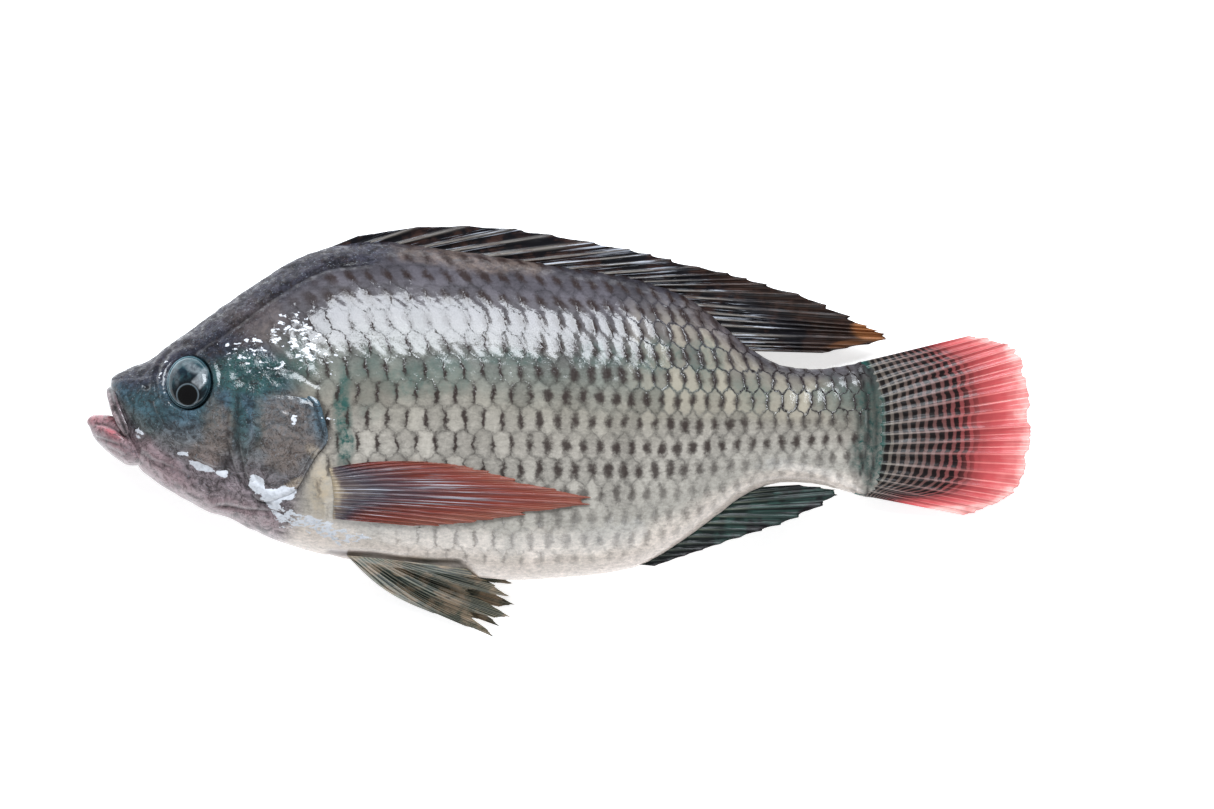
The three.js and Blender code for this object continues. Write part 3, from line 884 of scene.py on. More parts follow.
@dataclass(frozen=True)
class FinSkin:
    """Fin membrane stretched over bony rays, wet.

    Each ray is a pale ridge that splits towards the fin's edge, and the thin membrane
    between rays is darker, so the fin reads as fine stripes under a wet gloss.
    """

    name: str
    membrane: Ramp
    ray: Ramp
    ray_width: float = 0.5
    stain: str = "#3d2a24"
    stains: float = 0.0  # strength of brown patches
    bar: str = "#2c2023"
    bars: float = 0.0  # strength of dark bars across the rays
    bar_gap: float = 0.08  # distance between bars, as a share of the ray's length
    tip: str = "#93603a"
    # colour of the painted highlight streaks
    glare: str = "#aeb3bd"
    sheen: float = 0.0  # strength of painted highlight streaks along the rays
    split_from: float = 0.30  # reach at which the rays fork
    coat: float = 0.5

    def make(self) -> bpy.types.Material:
        """The membrane and its rays as a node material.

        Returns:
            The finished material.
        """
        paint = Paint(self.name)
        add = paint.add
        ray = add("Attribute", (), out=2, attribute_name="ray")
        reach = add("Attribute", (), out=2, attribute_name="reach")
        stain = add("Attribute", (), out=2, attribute_name="stain")
        place = paint.place()
        blotch = add("TexNoise", {"Vector": place, "Scale": 1 / 7, "Detail": 4.0, "Roughness": 0.6})
        # Streaks run along the rays, about 0.4 mm wide.
        grid = add("CombineXYZ", (add("Math:MULTIPLY", (ray, 5.0)), reach))
        streak = add("TexNoise", {"Vector": grid, "Scale": 1.0, "Detail": 4.0, "Roughness": 0.7})

        # Each ray forks into two, and then into four, on its way to the edge.
        line = None
        for times, start, end in ((1.0, 0.0, 0.0), (2.0, 0.0, 0.2), (4.0, 0.32, 0.5)):
            phase = add("Math:MULTIPLY", (ray, times))
            phase = add("Math:FRACT", (phase,))
            phase = add("Math:SUBTRACT", (phase, 0.5))
            phase = add("Math:ABSOLUTE", (phase,))
            finer = add("MapRange:SMOOTHSTEP", (phase, 0.5 - self.ray_width / 2, 0.5))
            if line is not None:
                split = add("MapRange", (reach, self.split_from + start, self.split_from + end))
                finer = add("Mix:FLOAT", {0: split, 2: line, 3: finer})
            line = finer
        uneven = add("MapRange", (streak, 0.3, 0.7, 0.35, 1.15))
        line = add("Math:MULTIPLY", (line, uneven), use_clamp=True)

        stirred = add("Math:MULTIPLY_ADD", (blotch, 0.22, reach))
        stirred = add("Math:SUBTRACT", (stirred, 0.11))
        base = add("ValToRGB", (stirred,), ramp=self.membrane)
        ridge = add("ValToRGB", (stirred,), ramp=self.ray)
        colour = add("Mix:RGBA", {0: line, 6: base, 7: ridge})
        if self.stains:
            patch = add(
                "Math:MULTIPLY",
                (
                    add("MapRange:SMOOTHSTEP", (blotch, 0.45, 0.62)),
                    add("MapRange:SMOOTHSTEP", (streak, 0.35, 0.6)),
                ),
            )
            colour = add(
                "Mix:RGBA", {0: add("Math:MULTIPLY", (patch, self.stains)), 6: colour, 7: self.stain}
            )
        if self.sheen:
            # Painted highlights: pale streaks along the rays where the wet membrane would catch the lights.
            long = add("CombineXYZ", (add("Math:MULTIPLY", (ray, 3.0)), reach, 4.0))
            long = add("TexNoise", {"Vector": long, "Scale": 1.6, "Detail": 5.0, "Roughness": 0.62})
            streaks = add(
                "Math:MULTIPLY",
                (
                    add("MapRange:SMOOTHSTEP", (long, 0.56, 0.63)),
                    add("MapRange:SMOOTHSTEP", (reach, 0.85, 0.5, 0.0, self.sheen)),
                ),
            )
            colour = add("Mix:RGBA", {0: streaks, 6: colour, 7: self.glare})
            burnt = add("Math:MULTIPLY", (stain, add("MapRange:SMOOTHSTEP", (streak, 0.32, 0.55, 0.3, 1.0))))
            colour = add("Mix:RGBA", {0: burnt, 6: colour, 7: self.tip})
        if self.bars:
            wave = add("Math:MULTIPLY_ADD", (blotch, 0.05, reach))
            wave = add("Math:MULTIPLY", (wave, 2 * math.pi / self.bar_gap))
            wave = add("Math:SINE", (wave,))
            bar = add("MapRange:SMOOTHSTEP", (wave, -0.65, 0.15, 0.0, self.bars))
            spread = add("MapRange", (line, 0.1, 0.6, 1.0, 0.3))
            bar = add("Math:MULTIPLY", (bar, spread))
            bar = add("Math:MULTIPLY", (bar, stain), use_clamp=True)
            colour = add("Mix:RGBA", {0: bar, 6: colour, 7: self.bar})
        height = add("Math:MULTIPLY_ADD", (streak, 0.6, line))
        bump = add("Bump", {"Strength": 0.7, "Distance": 0.18 * MM, "Height": height})
        rough = add("MapRange", (streak, 0.3, 0.7, 0.34, 0.5))
        return paint.finish(
            colour,
            bump,
            Roughness=rough,
            IOR=1.40,
            Specular_IOR_Level=0.08,
            Coat_Weight=self.coat,
            Coat_Roughness=0.16,
            Coat_IOR=1.40,
        )


@dataclass(frozen=True)
class Eyeball:
    """A fish's eye, moist: a clear dome over a black pupil with a silvery rim, gone cloudy.

    The dome mirrors the lights sharply, and the clouded jelly under it is a dark teal.
    Thin pale arcs along its rim are painted highlights, and the pale cloud above the pupil is
    partly clouded jelly and partly a painted highlight.
    """

    rings: Ramp = (  # from the pupil's middle outwards
        (0.0, "#010102"),
        (0.222, "#020203"),
        (0.236, "#3c4448"),
        (0.252, "#566066"),
        (0.275, "#070b0f"),
        (0.38, "#0a1218"),
        (0.58, "#10202a"),
        (0.80, "#183038"),
        (1.0, "#2f464e"),
    )
    haze: str = "#3d6066"
    cloud_and_highlight: str = "#c3c8cc"
    # colour of the painted highlight arcs along the dome's rim
    rim: str = "#8fb0bb"
    spread: float = 14.0  # of the rings of colour from the pupil's middle, in millimetres

    def make(self) -> bpy.types.Material:
        """The eye as a node material.

        Returns:
            The finished material.
        """
        paint = Paint("moist_eye")
        add = paint.add
        far = add("Attribute", (), out=2, attribute_name="from_pupil")
        rim = add("Attribute", (), out=2, attribute_name="rim")
        cloud_and_highlight = add("Attribute", (), out=2, attribute_name="cloud_and_highlight")
        place = paint.place()
        murk = add(
            "TexNoise",
            {"Vector": place, "Scale": 1 / 2.2, "Detail": 5.0, "Roughness": 0.6, "Distortion": 0.8},
        )
        far = add("Math:MULTIPLY", (far, 1 / self.spread))
        colour = add("ValToRGB", (far,), ramp=self.rings)
        haze = add("MapRange", (murk, 0.42, 0.72, 0.0, 0.5))
        haze = add("Math:MULTIPLY", (haze, add("MapRange", (far, 0.3, 0.45))))
        colour = add("Mix:RGBA", {0: haze, 6: colour, 7: self.haze})
        # Pale cloud above the pupil: partly clouded jelly, partly a painted highlight.
        cloud_and_highlight = add("Math:MULTIPLY", (cloud_and_highlight, add("MapRange", (murk, 0.3, 0.6, 0.3, 1.0))))
        cloud_and_highlight = add("Math:MULTIPLY", (cloud_and_highlight, add("MapRange:SMOOTHSTEP", (far, 0.26, 0.33))))
        colour = add("Mix:RGBA", {0: cloud_and_highlight, 6: colour, 7: self.cloud_and_highlight})
        # Painted highlights: thin pale arcs along the dome's rim.
        colour = add("Mix:RGBA", {0: rim, 6: colour, 7: self.rim})
        bump = add("Bump", {"Strength": 0.15, "Distance": 0.1 * MM, "Height": murk})
        return paint.finish(
            colour,
            bump,
            Roughness=0.3,
            IOR=1.38,
            Specular_IOR_Level=0.02,
            Coat_Weight=1.0,
            Coat_Roughness=0.03,
            Coat_IOR=1.38,
        )


@dataclass(frozen=True)
class Acrylic:
    """Matt white acrylic of a light table that the fish lies on, lit faintly from below.

    The glow fills the shadows, so the fish stands on even white.
    """

    glow: float = 0.7

    def make(self) -> bpy.types.Material:
        """The acrylic as a node material.

        Returns:
            The finished material.
        """
        paint = Paint("backlit_white_acrylic")
        tooth = paint.add(
            "TexNoise", {"Vector": paint.add("TexCoord", (), out=3), "Scale": 900.0, "Detail": 3.0}
        )
        colour = paint.add("ValToRGB", (tooth,), ramp=((0.0, "#f1f1f1"), (1.0, "#f5f5f5")))
        bump = paint.add("Bump", {"Strength": 0.05, "Distance": 0.1 * MM, "Height": tooth})
        return paint.finish(
            colour, bump, Roughness=0.8, IOR=1.49, Emission_Color=colour, Emission_Strength=self.glow
        )


# ------------------------------------------------------------------ the pieces


EYE = (-117.2, 15.4)
EYE_RADII = (7.6, 8.8, 5.6)
EYE_SUNK = 4.0
GILL_COVER: Line = (
    (-97.9, 12.4),
    (-90.6, 14.9),
    (-82.6, 14.3),
    (-76.9, 11.1),
    (-74.0, 5.1),
    (-72.8, -2.9),
    (-76.9, -8.6),
    (-82.9, -18.1),
    (-89.0, -21.3),
    (-94.7, -21.9),
    (-97.9, -18.1),
    (-99.5, -12.4),
    (-98.5, -2.9),
)


def closed_curve(points: Line, share: Array) -> Array:
    """Places along a smooth closed line, with share 0 and 1 at the same place.

    Args:
        points: The points of the line.
        share: Where along the line.

    Returns:
        One row of coordinates for each share.
    """
    count = len(points)
    wrapped = [*points[-3:], *points, *points[:4]]
    return curve(wrapped, (3 + np.mod(share, 1) * count) / (count + 6))


# Soft patches of each tint in the side view, of the painted highlights and glints, and crinkles of the bare
# skin.
PATCHES: dict[str, tuple[Stroke, ...]] = {
    "teal": (
        Stroke(-98, 18, 16, 7, -6, 0.85),
        Stroke(-84, 21, 7, 8, 0, 0.6),
        Stroke(-101, 4, 3.2, 12, 8, 0.6),
        Stroke(-94.5, 3, 2.2, 9, 0, 0.4),
        Stroke(-110, 6, 4, 7, 0, 0.35),
        Stroke(-68, 3, 2.8, 17, 0, 1.0),
        Stroke(-67, -4, 2.6, 9, 0, 1.0),
        Stroke(-60, 14, 5, 12, 0, 0.35),
        Stroke(-50, 16, 8, 6, 0, 0.5),
        Stroke(-36, 18, 7, 7, 0, 0.4),
        Stroke(-14, 23, 12, 3, -4, 0.45),
        Stroke(14, 24, 12, 4, -4, 0.45),
        Stroke(32, 23, 7, 6, 0, 0.5),
        Stroke(46, 23, 6, 8, 0, 0.45),
        Stroke(62, 12, 6, 7, 0, 0.3),
        Stroke(-130, 6, 8, 8, 20, 0.35),
        Stroke(99, -3, 6, 22, 0, 0.9),
        Stroke(88, 10, 8, 7, 0, 0.35),
    ),
    "brown": (
        Stroke(-107.5, 1, 5, 10, 0, 0.75),
        Stroke(-86, 0, 10, 13, 0, 0.8),
        Stroke(-112, -7.5, 7, 3.6, -15, 0.75),
        Stroke(-97, 34, 10, 8, 30, 0.3),
        Stroke(-28, 54.5, 22, 4.5, -6, 0.6),
        Stroke(-60, 12, 8, 5, 0, 0.3),
        Stroke(50, 34, 12, 6, -35, 0.3),
    ),
    "blush": (
        Stroke(-127, -11, 15, 5.5, -38, 0.8),
        Stroke(-104, -25.5, 14, 5, -14, 0.7),
        Stroke(-138, -8, 7, 5, -30, 0.8),
        Stroke(-60, -41, 16, 3, -4, 0.5),
    ),
    "painted_shine": (
        Stroke(-133.2, -0.6, 1.6, 2.6, 20, 0.55),
        Stroke(-119.2, -7.2, 2.8, 1.2, -5, 0.75),
        Stroke(-112.6, -11.4, 5.2, 1.3, -22, 0.85),
        Stroke(-106.6, -13.6, 3.0, 1.7, -10, 0.9),
        Stroke(-95.4, -17.0, 3.6, 2.6, -50, 0.9),
        Stroke(-91.0, -20.8, 3.6, 3.0, -20, 0.95),
        Stroke(-86.8, -19.6, 3.6, 2.0, 8, 0.95),
        Stroke(-79, -28.6, 11, 2.6, -16, 0.56),
        Stroke(-70, -32.5, 8, 2.4, -10, 0.5),
        Stroke(-83.5, 3.5, 1.4, 2.4, 0, 0.7),
    ),
    "glint": (
        Stroke(-98, 24, 15, 7, -25, 0.9),
        Stroke(-82, 29, 11, 9, -30, 1.0),
        Stroke(-72, 22, 6, 8, 0, 0.7),
        Stroke(-131, 2, 8, 9, 20, 0.35),
        Stroke(-72, 4, 2.5, 10, 0, 0.7),
        Stroke(-80, -30, 13, 3.5, -12, 0.8),
        Stroke(-105, -11, 3, 5, 0, 0.6),
        Stroke(-80, -14, 3, 4, 40, 0.6),
    ),
    "crinkle": (
        Stroke(-96, 20, 14, 7, -8),
        Stroke(-112, 30, 9, 5, 40, 0.6),
        Stroke(-128, 14, 6, 6, 0, 0.5),
        Stroke(-109, -6, 7, 8, 0, 0.6),
        Stroke(-80, 22, 9, 7, 0, 0.5),
    ),
}
RAGGED = {"painted_shine": 0.45}  # the patches whose edges are more uneven than usual
ABSENT = ("lip", "ovals", "dry", "scaled", "spots", "lines", "slim")  # traits that only some pieces have


def skin_marks(x: Array, y: Array) -> dict[str, Array]:
    """The tints, painted highlights and glints of the skin at places in the side view, the same on every
    piece of skin.

    Args:
        x: Places along the fish.
        y: Places across the fish.

    Returns:
        One array for each trait, from 0 to 1.
    """
    made = {name: cover(strokes, x, y, RAGGED.get(name, 0.25)) for name, strokes in PATCHES.items()}
    made |= {name: np.zeros_like(x) for name in ABSENT}
    made["cream"] = bell(np.hypot((x + 75.0) / 4.0, (y + 18.5) / 9.0), 1.0)
    made["along"], made["across"] = x / 6.0, y / 7.0
    made["head"], made["tone"] = np.ones_like(x), BODY.rise(x, y)
    return made


def stands_free(x: Array, y: Array) -> Array:
    """How far the gill cover stands free of the body, 1 at its rear and lower edge, 0 in front."""
    return np.maximum(ease(-88, -78, x) * ease(13, 7, y), ease(-8, -17, y) * ease(-99, -92, x))


@dataclass(frozen=True)
class Fold:
    """A crease or a ridge of the head's skin, drawn in the side view."""

    name: str
    line: Line
    width: float  # distance at which it has faded to a third
    rise: float  # its height, below 0 for a crease
    shade: float = 0.0  # how much painted shade it gets

    def at(self, x: Array, y: Array) -> Array:
        """How near each place is to the fold, 1 on it and 0 far from it."""
        return crease(self.line, x, y, self.width)


FOLDS = (
    Fold(
        "cheek edge", ((-101.5, 10), (-101.8, 0), (-100.6, -9), (-98.0, -17), (-91, -23.6)), 0.9, -0.9, 0.55
    ),
    Fold("inner edge", ((-104.3, 6), (-104.8, -2), (-103.6, -9), (-101.0, -16)), 0.6, -0.45, 0.45),
    Fold("lower cheek ridge", ((-115, -7.6), (-109, -10.4), (-104, -12)), 0.7, 0.5),
    Fold("upper cheek ridge", ((-121, -2.5), (-114, -5.2), (-107, -6.0)), 0.8, 0.5),
    Fold("under eye", ((-129, 9), (-126.5, 3), (-119, 0.4), (-110, 3)), 1.0, -0.45, 0.3),
    Fold("throat", ((-108, -23.0), (-100, -24.9), (-88, -25.6)), 0.6, -0.6, 0.45),
    Fold("jowls", ((-136, -3), (-131.5, -7), (-125, -10.5), (-114, -15.5)), 0.8, -0.3, 0.3),
    Fold("nape", ((-101.5, 12), (-96, 18), (-86, 19.5), (-76, 14.5)), 0.9, -0.35, 0.4),
    Fold("crown", ((-116, 24.5), (-104, 32.5), (-90, 42.5), (-75, 50.6), (-60, 52.6)), 0.75, -0.4, 0.5),
    Fold("belly fin root", ((-73, -38.8), (-58, -39.6), (-44, -41.6), (-32, -42.2)), 1.0, -0.7, 0.6),
    Fold("chin", ((-137, -6.5), (-131, -11.5), (-122, -17.5), (-110, -23)), 4.5, 1.5),
)
STALK = (  # creases at the root of the tail fin, and how deep each is
    (((93.5, -19), (96.8, -10), (98.2, 2), (97.0, 14), (94.5, 21)), 1.0),
    (((97.8, -20), (100.2, -9), (100.8, 3), (99.8, 14), (98, 22)), 1.0),
    (((90.5, -16), (93.8, -9), (95.0, 0), (94.0, 9)), 0.6),
)


@dataclass(frozen=True)
class Trunk:
    """Head, flanks, belly and tail stalk in one skin, from the snout to the tail fin."""

    rings: int = 340
    left_columns: int = 176
    right_columns: int = 108
    scale_step: float = 0.26  # thickness of a scale at its free edge
    nape: float = -95.0  # the head's rings are closer in front of here
    head_step: float = 0.62
    step: float = 0.8
    skin: ScaledSkin = field(default_factory=ScaledSkin)

    def shares(self) -> Array:
        """Sections at even steps along the back and belly, a little closer on the head.

        Returns:
            The sections, from 0 to 1.
        """
        dense = np.linspace(0, 1, 4001)
        top, bottom, half = BODY.ends(dense)
        moved = np.maximum(
            np.linalg.norm(np.diff(top, axis=0), axis=1), np.linalg.norm(np.diff(bottom, axis=0), axis=1)
        )
        moved = np.maximum(moved, np.abs(np.diff(half)))
        spacing = np.where(top[1:, 0] < self.nape, self.head_step, self.step)
        count = np.concatenate([[0], np.cumsum(moved / spacing)])
        return np.interp(np.linspace(0, count[-1], self.rings), count, dense)

    def turns(self) -> Array:
        """Angles round a section at even steps of its outline, closer on the left.

        Returns:
            The angles, from the back down the left side and up the right one.
        """
        dense = np.linspace(0, math.pi, 2001)
        ring = BODY.rings(np.array([0.55]), dense)[0]
        length = np.concatenate([[0], np.cumsum(np.linalg.norm(np.diff(ring, axis=0), axis=1))])
        left = np.interp(np.linspace(0, length[-1], self.left_columns, endpoint=False), length, dense)
        right = np.interp(np.linspace(0, length[-1], self.right_columns, endpoint=False), length, dense)
        return np.concatenate([left, math.pi + right])

    def rows(self, rings: Array) -> Array:
        """How many scale rows each point lies above the middle row, along the surface.

        Args:
            rings: Points of the surface.

        Returns:
            A number of rows for each point.
        """
        step = np.linalg.norm(rings - np.roll(rings, 1, axis=1), axis=-1)
        left = self.left_columns
        down = np.zeros(rings.shape[:2])
        down[:, : left + 1] = np.cumsum(
            np.concatenate([step[:, :1] * 0, step[:, 1 : left + 1]], axis=1), axis=1
        )
        back = np.cumsum(np.roll(step, -1, axis=1)[:, ::-1], axis=1)[:, ::-1]
        down[:, left + 1 :] = back[:, left + 1 :]
        x, y = rings[..., 0], rings[..., 1]
        middle = profile(SCALES.middle_row, x)
        on_row = np.array(
            [np.interp(0, -(row - mid)[:left], d[:left]) for row, mid, d in zip(y, middle, down)]
        )
        return (on_row[:, None] - down) / profile(SCALES.row_gap, x)

    def mesh(self) -> bpy.types.Object:
        """The trunk with its relief and the traits that its skin reads.

        Returns:
            The trunk.
        """
        share, turn = self.shares(), self.turns()
        rings = BODY.rings(share, turn)
        normal = outward(rings)
        x, y = rings[..., 0], rings[..., 1]
        reach = np.cos(turn)[None, :]
        tone = np.broadcast_to(
            BODY.widest_at + np.where(reach > 0, 1 - BODY.widest_at, BODY.widest_at) * reach, x.shape
        )
        across = self.rows(rings)
        along = SCALES.along(x, across)
        start = np.interp(
            y, (-45, -30, -10, 20, 32, 42, 50, 53, 60), (-92, -84, -79, -84, -98, -88, -74, -57, -52)
        )
        scaled = ease(-1.5, 5.0, x - start) * ease(101.5, 96, x + 1.5 * grain(rings, 5.0, 15, 2))
        head = ease(4.0, -5.0, x - start)

        inside, seam = SCALES.cells(along, across)
        relief = self.scale_step * (0.5 + inside) * (0.7 + 0.3 * ease(0.0, 0.13, seam)) * scaled
        relief *= 0.3 + 0.7 * ease(0.08, 0.3, tone)
        relief += 0.55 * grain(rings, 34.0, 3, 2) + 0.10 * grain(rings, 6.0, 5, 2)
        relief += head * 0.22 * grain(rings, 4.0, 9, 2)
        traits = self.features(rings, x, y, head, relief)
        lift = relief + traits.pop("swell")
        fade = ease(0, 5, np.arange(len(share)))[:, None]
        rings = rings + normal * (lift * fade)[..., None]
        middle = BODY.middle_height(x)
        rings[..., 2] = middle + (rings[..., 2] - middle) * (1 - 0.62 * ease(95.5, 103, x))
        rings[..., 2] = np.maximum(rings[..., 2], 0.0)

        rear = ease(40, 72, x)
        front = ease(-45, -80, x)
        traits["tone"] = np.clip(
            tone - 0.13 * rear * ease(0.45, 0.75, tone) + 0.05 * front * ease(0.3, 0.6, tone), 0, 1
        )
        traits["along"], traits["across"] = along, across
        traits["scaled"], traits["head"] = scaled, head
        traits["slim"] = ease(5, -25, x) * ease(0.80, 0.70, tone)
        low = ease(0.08, 0.36, tone)
        low = np.maximum(low, 0.42 * ease(0.02, 0.08, tone) * ease(-62, -35, x))
        traits["spots"] = low * (1 - 0.55 * rear * ease(0.4, 0.6, tone)) * (0.3 + 0.7 * ease(-92, -66, x))
        above = ease(0.5, 0.66, tone + 0.03 * grain(rings, 9.0, 17, 2))
        ovals = 0.7 * ease(16, 36, x) * ease(0.46, 0.6, tone) * ease(0.97, 0.86, tone)
        traits["ovals"] = ovals * ease(92, 80, x)
        lines = 0.03 + 0.34 * traits["slim"] * low + 0.55 * above * ease(8, 36, x)
        lines = lines + 0.3 * rear * ease(0.3, 0.5, tone) + 0.12 * ease(0.55, 0.8, tone)
        traits["lines"] = np.clip(lines, 0, 1)
        traits["dry"] = ease(0.81, 0.89, tone + 0.08 * head)
        return make_tube("trunk", rings, traits)

    def features(self, rings: Array, x: Array, y: Array, head: Array, relief: Array) -> dict[str, Array]:
        """The marks and swellings of the head and the belly.

        Args:
            rings: Points of the surface.
            x: Places along the fish.
            y: Places across the fish.
            head: How far each place is bare skin of the head.
            relief: Relief so far, which the gill cover's seat levels out.

        Returns:
            One array for each trait, and swell, how far the skin is moved out.
        """
        off_eye = np.hypot((x - EYE[0]) / EYE_RADII[0], (y - EYE[1]) / EYE_RADII[1])
        angle = np.arctan2(y - EYE[1], x - EYE[0])
        upper_left = bell(np.angle(np.exp(1j * (angle - 2.4))), 1.1)
        socket = ease(1.06, 0.90, off_eye)
        rim = bell(off_eye - 1.20, 0.09)
        groove = bell(off_eye - 1.38, 0.07)
        outer_rim = bell(off_eye - 1.56, 0.10) * (0.3 + 0.7 * upper_left)

        folds = [(fold, fold.at(x, y)) for fold in FOLDS]
        stalk = np.maximum.reduce([strength * crease(line, x, y, 0.5) for line, strength in STALK])
        stalk = stalk * (0.55 + 0.45 * grain(rings, 3.0, 19, 1))
        pit = bell(np.hypot((x + 105.5) / 2.0, (y + 10.8) / 3.8), 1.0)
        nostril = bell(np.hypot(x + 131.0, y - 14.0), 0.9)

        seat = closed_curve(GILL_COVER, np.linspace(0, 1, 120, endpoint=False))
        centre = seat.mean(axis=0)
        seat_angle = np.arctan2(seat[:, 1] - centre[1], seat[:, 0] - centre[0])
        order = np.argsort(seat_angle)
        far = np.hypot(*(seat - centre).T)
        around = np.arctan2(y - centre[1], x - centre[0])
        edge = np.interp(around, seat_angle[order], far[order], period=2 * math.pi)
        under = np.hypot(x - centre[0], y - centre[1]) / edge
        free = stands_free(x, y)
        covered = ease(1.03, 0.94, under) * np.maximum(free, ease(0.93, 0.65, under))
        shadow = bell(under - 1.03, 0.05) * free

        base = bell(np.hypot((x + 74.0) / 3.6, (y + 18.5) / 8.5), 1.0)
        swell = -3.6 * socket + 0.35 * rim * (0.3 + 0.7 * upper_left) - 0.2 * groove + 0.3 * outer_rim
        swell += sum(fold.rise * near for fold, near in folds)
        swell += -0.45 * stalk - 1.1 * pit - 1.0 * nostril
        swell += -(1.0 + relief) * covered + 1.1 * base * (1 - covered)
        made = skin_marks(x, y)
        swell += 0.35 * made["crinkle"] * grain(rings, 2.6, 21, 1)
        made["swell"] = swell
        made["cream"] = made["cream"] * (1 - covered)
        made["crinkle"] = np.clip(made["crinkle"] + 0.25 * head, 0, 1)
        # Painted highlight on the upper left of the eye socket's rim, added to the head's painted highlight
        # patches.
        made["painted_shine"] = np.maximum(
            made["painted_shine"], 0.5 * rim * bell(np.angle(np.exp(1j * (angle - 2.7))), 0.5)
        )
        # Painted shade: folds, the pit, the nostril, the tail stalk's creases, the eye socket and a painted
        # shadow under the gill cover's free edge are darkened; the skin also darkens towards the tail fin's
        # root.
        shade = sum(fold.shade * near for fold, near in folds) + 0.85 * (pit + nostril) + 0.8 * stalk
        shade += 0.3 * ease(90, 98, x) + 0.2 * groove + 0.3 * socket + 0.7 * shadow
        made["shade"] = np.clip(shade, 0, 0.92)
        return made

    def dress(self) -> None:
        """Skins the trunk and sets it in the place of the CAD body."""
        settle(self.mesh(), self.skin.make(), "skin", "body")


@dataclass(frozen=True)
class GillCover:
    """The bony flap over the gills on one side of the head."""

    side: Side
    skin: bpy.types.Material
    proud: float = 0.75
    thickness: float = 1.4

    def mesh(self) -> bpy.types.Object:
        """The flap as a closed plate that follows the side of the head.

        Returns:
            The flap.
        """
        around = np.linspace(0, 1, 240, endpoint=False)
        outline = closed_curve(GILL_COVER, around)
        centre = outline.mean(axis=0)
        spread = np.concatenate([np.linspace(0.01, 0.9, 70), np.linspace(0.91, 1.0, 14)])
        ragged = 1 + 0.012 * grain(outline, 5.0, 31, 2)
        flat = centre + (outline - centre) * (spread[:, None, None] * ragged[None, :, None])
        x, y = flat[..., 0], flat[..., 1]
        height, _ = BODY.flank(x, y, self.side)
        rear = ease(-93, -80, x)
        rounded = np.sqrt(np.clip(1 - ((spread[:, None] - 0.9) / 0.1).clip(0) ** 2, 0, 1))
        free = stands_free(x, y)
        sunk = ease(0.98, 0.35, spread[:, None])
        lift = free * self.proud * (0.15 + 0.85 * rounded) + (1 - free) * (0.6 * sunk - 0.35)
        places = np.stack([x, y, height], axis=-1)
        lift = lift + 0.28 * grain(places, 12.0, 41, 2) + 0.12 * grain(places, 3.4, 43, 2)
        # A soft flap runs along the rear edge, and shallow grooves fan out from the hinge.
        rim = bell(spread[:, None] - 0.94, 0.04) * rear
        seam = bell(spread[:, None] - 0.87, 0.03) * rear
        fan = np.arctan2(y - 8.0, x + 99.5)
        grooves = np.sin(17 * fan + 1.5 * grain(places, 9.0, 45)) * ease(6, 14, np.hypot(y - 8.0, x + 99.5))
        lift = lift + 0.12 * rim - 0.28 * seam + 0.10 * grooves
        lower = crease(((-97, -14.5), (-91, -17.6), (-84.5, -16.4)), x, y, 1.0)
        lift = lift - 0.5 * lower
        top = np.stack([x, y, height + self.side.value * lift], axis=-1)
        inner = np.arange(len(spread) - 1, 0, -6)
        under = top[inner].copy()
        under[..., 2] -= self.side.value * self.thickness * (0.3 + 0.7 * rounded[inner])
        rings = np.concatenate([top, under])
        rings[..., 2] = np.maximum(rings[..., 2], 0.15)
        traits = self.traits(rings[..., 0], rings[..., 1], np.concatenate([spread, spread[inner]])[:, None])
        return make_tube(f"{self.side.word}_gill_cover_plate", rings, traits, self.side is Side.LEFT)

    def traits(self, x: Array, y: Array, spread: Array) -> dict[str, Array]:
        """The flap's marks.

        Args:
            x: Places along the fish.
            y: Places across the fish.
            spread: Share of the way from the flap's middle to its outline.

        Returns:
            One array for each trait that its skin reads.
        """
        made = skin_marks(x, y)
        rear = ease(-88, -78, x) * ease(-12, -4, y)
        lower = crease(((-97, -14.5), (-91, -17.0), (-84.5, -16.0)), x, y, 0.8)
        made["cream"] = cover((Stroke(-84, -17.4, 5, 2.0, 28, 0.6), Stroke(-76, -8, 2, 4, 40, 0.4)), x, y)
        # Painted glints along the flap's free rear edge, and painted shade in its seam and its lower crease.
        made["glint"] = np.maximum(made["glint"], 0.75 * bell(spread - 0.95, 0.05) * rear)
        made["shade"] = np.clip(0.45 * bell(spread - 0.87, 0.03) * rear + 0.4 * lower, 0, 0.9)
        made["crinkle"] = np.clip(0.25 + made["crinkle"], 0, 1)
        return made

    def dress(self) -> None:
        """Sets the flap in the place of its CAD node."""
        settle(self.mesh(), self.skin, "gill_cover_skin", f"{self.side.word}_gill_cover")


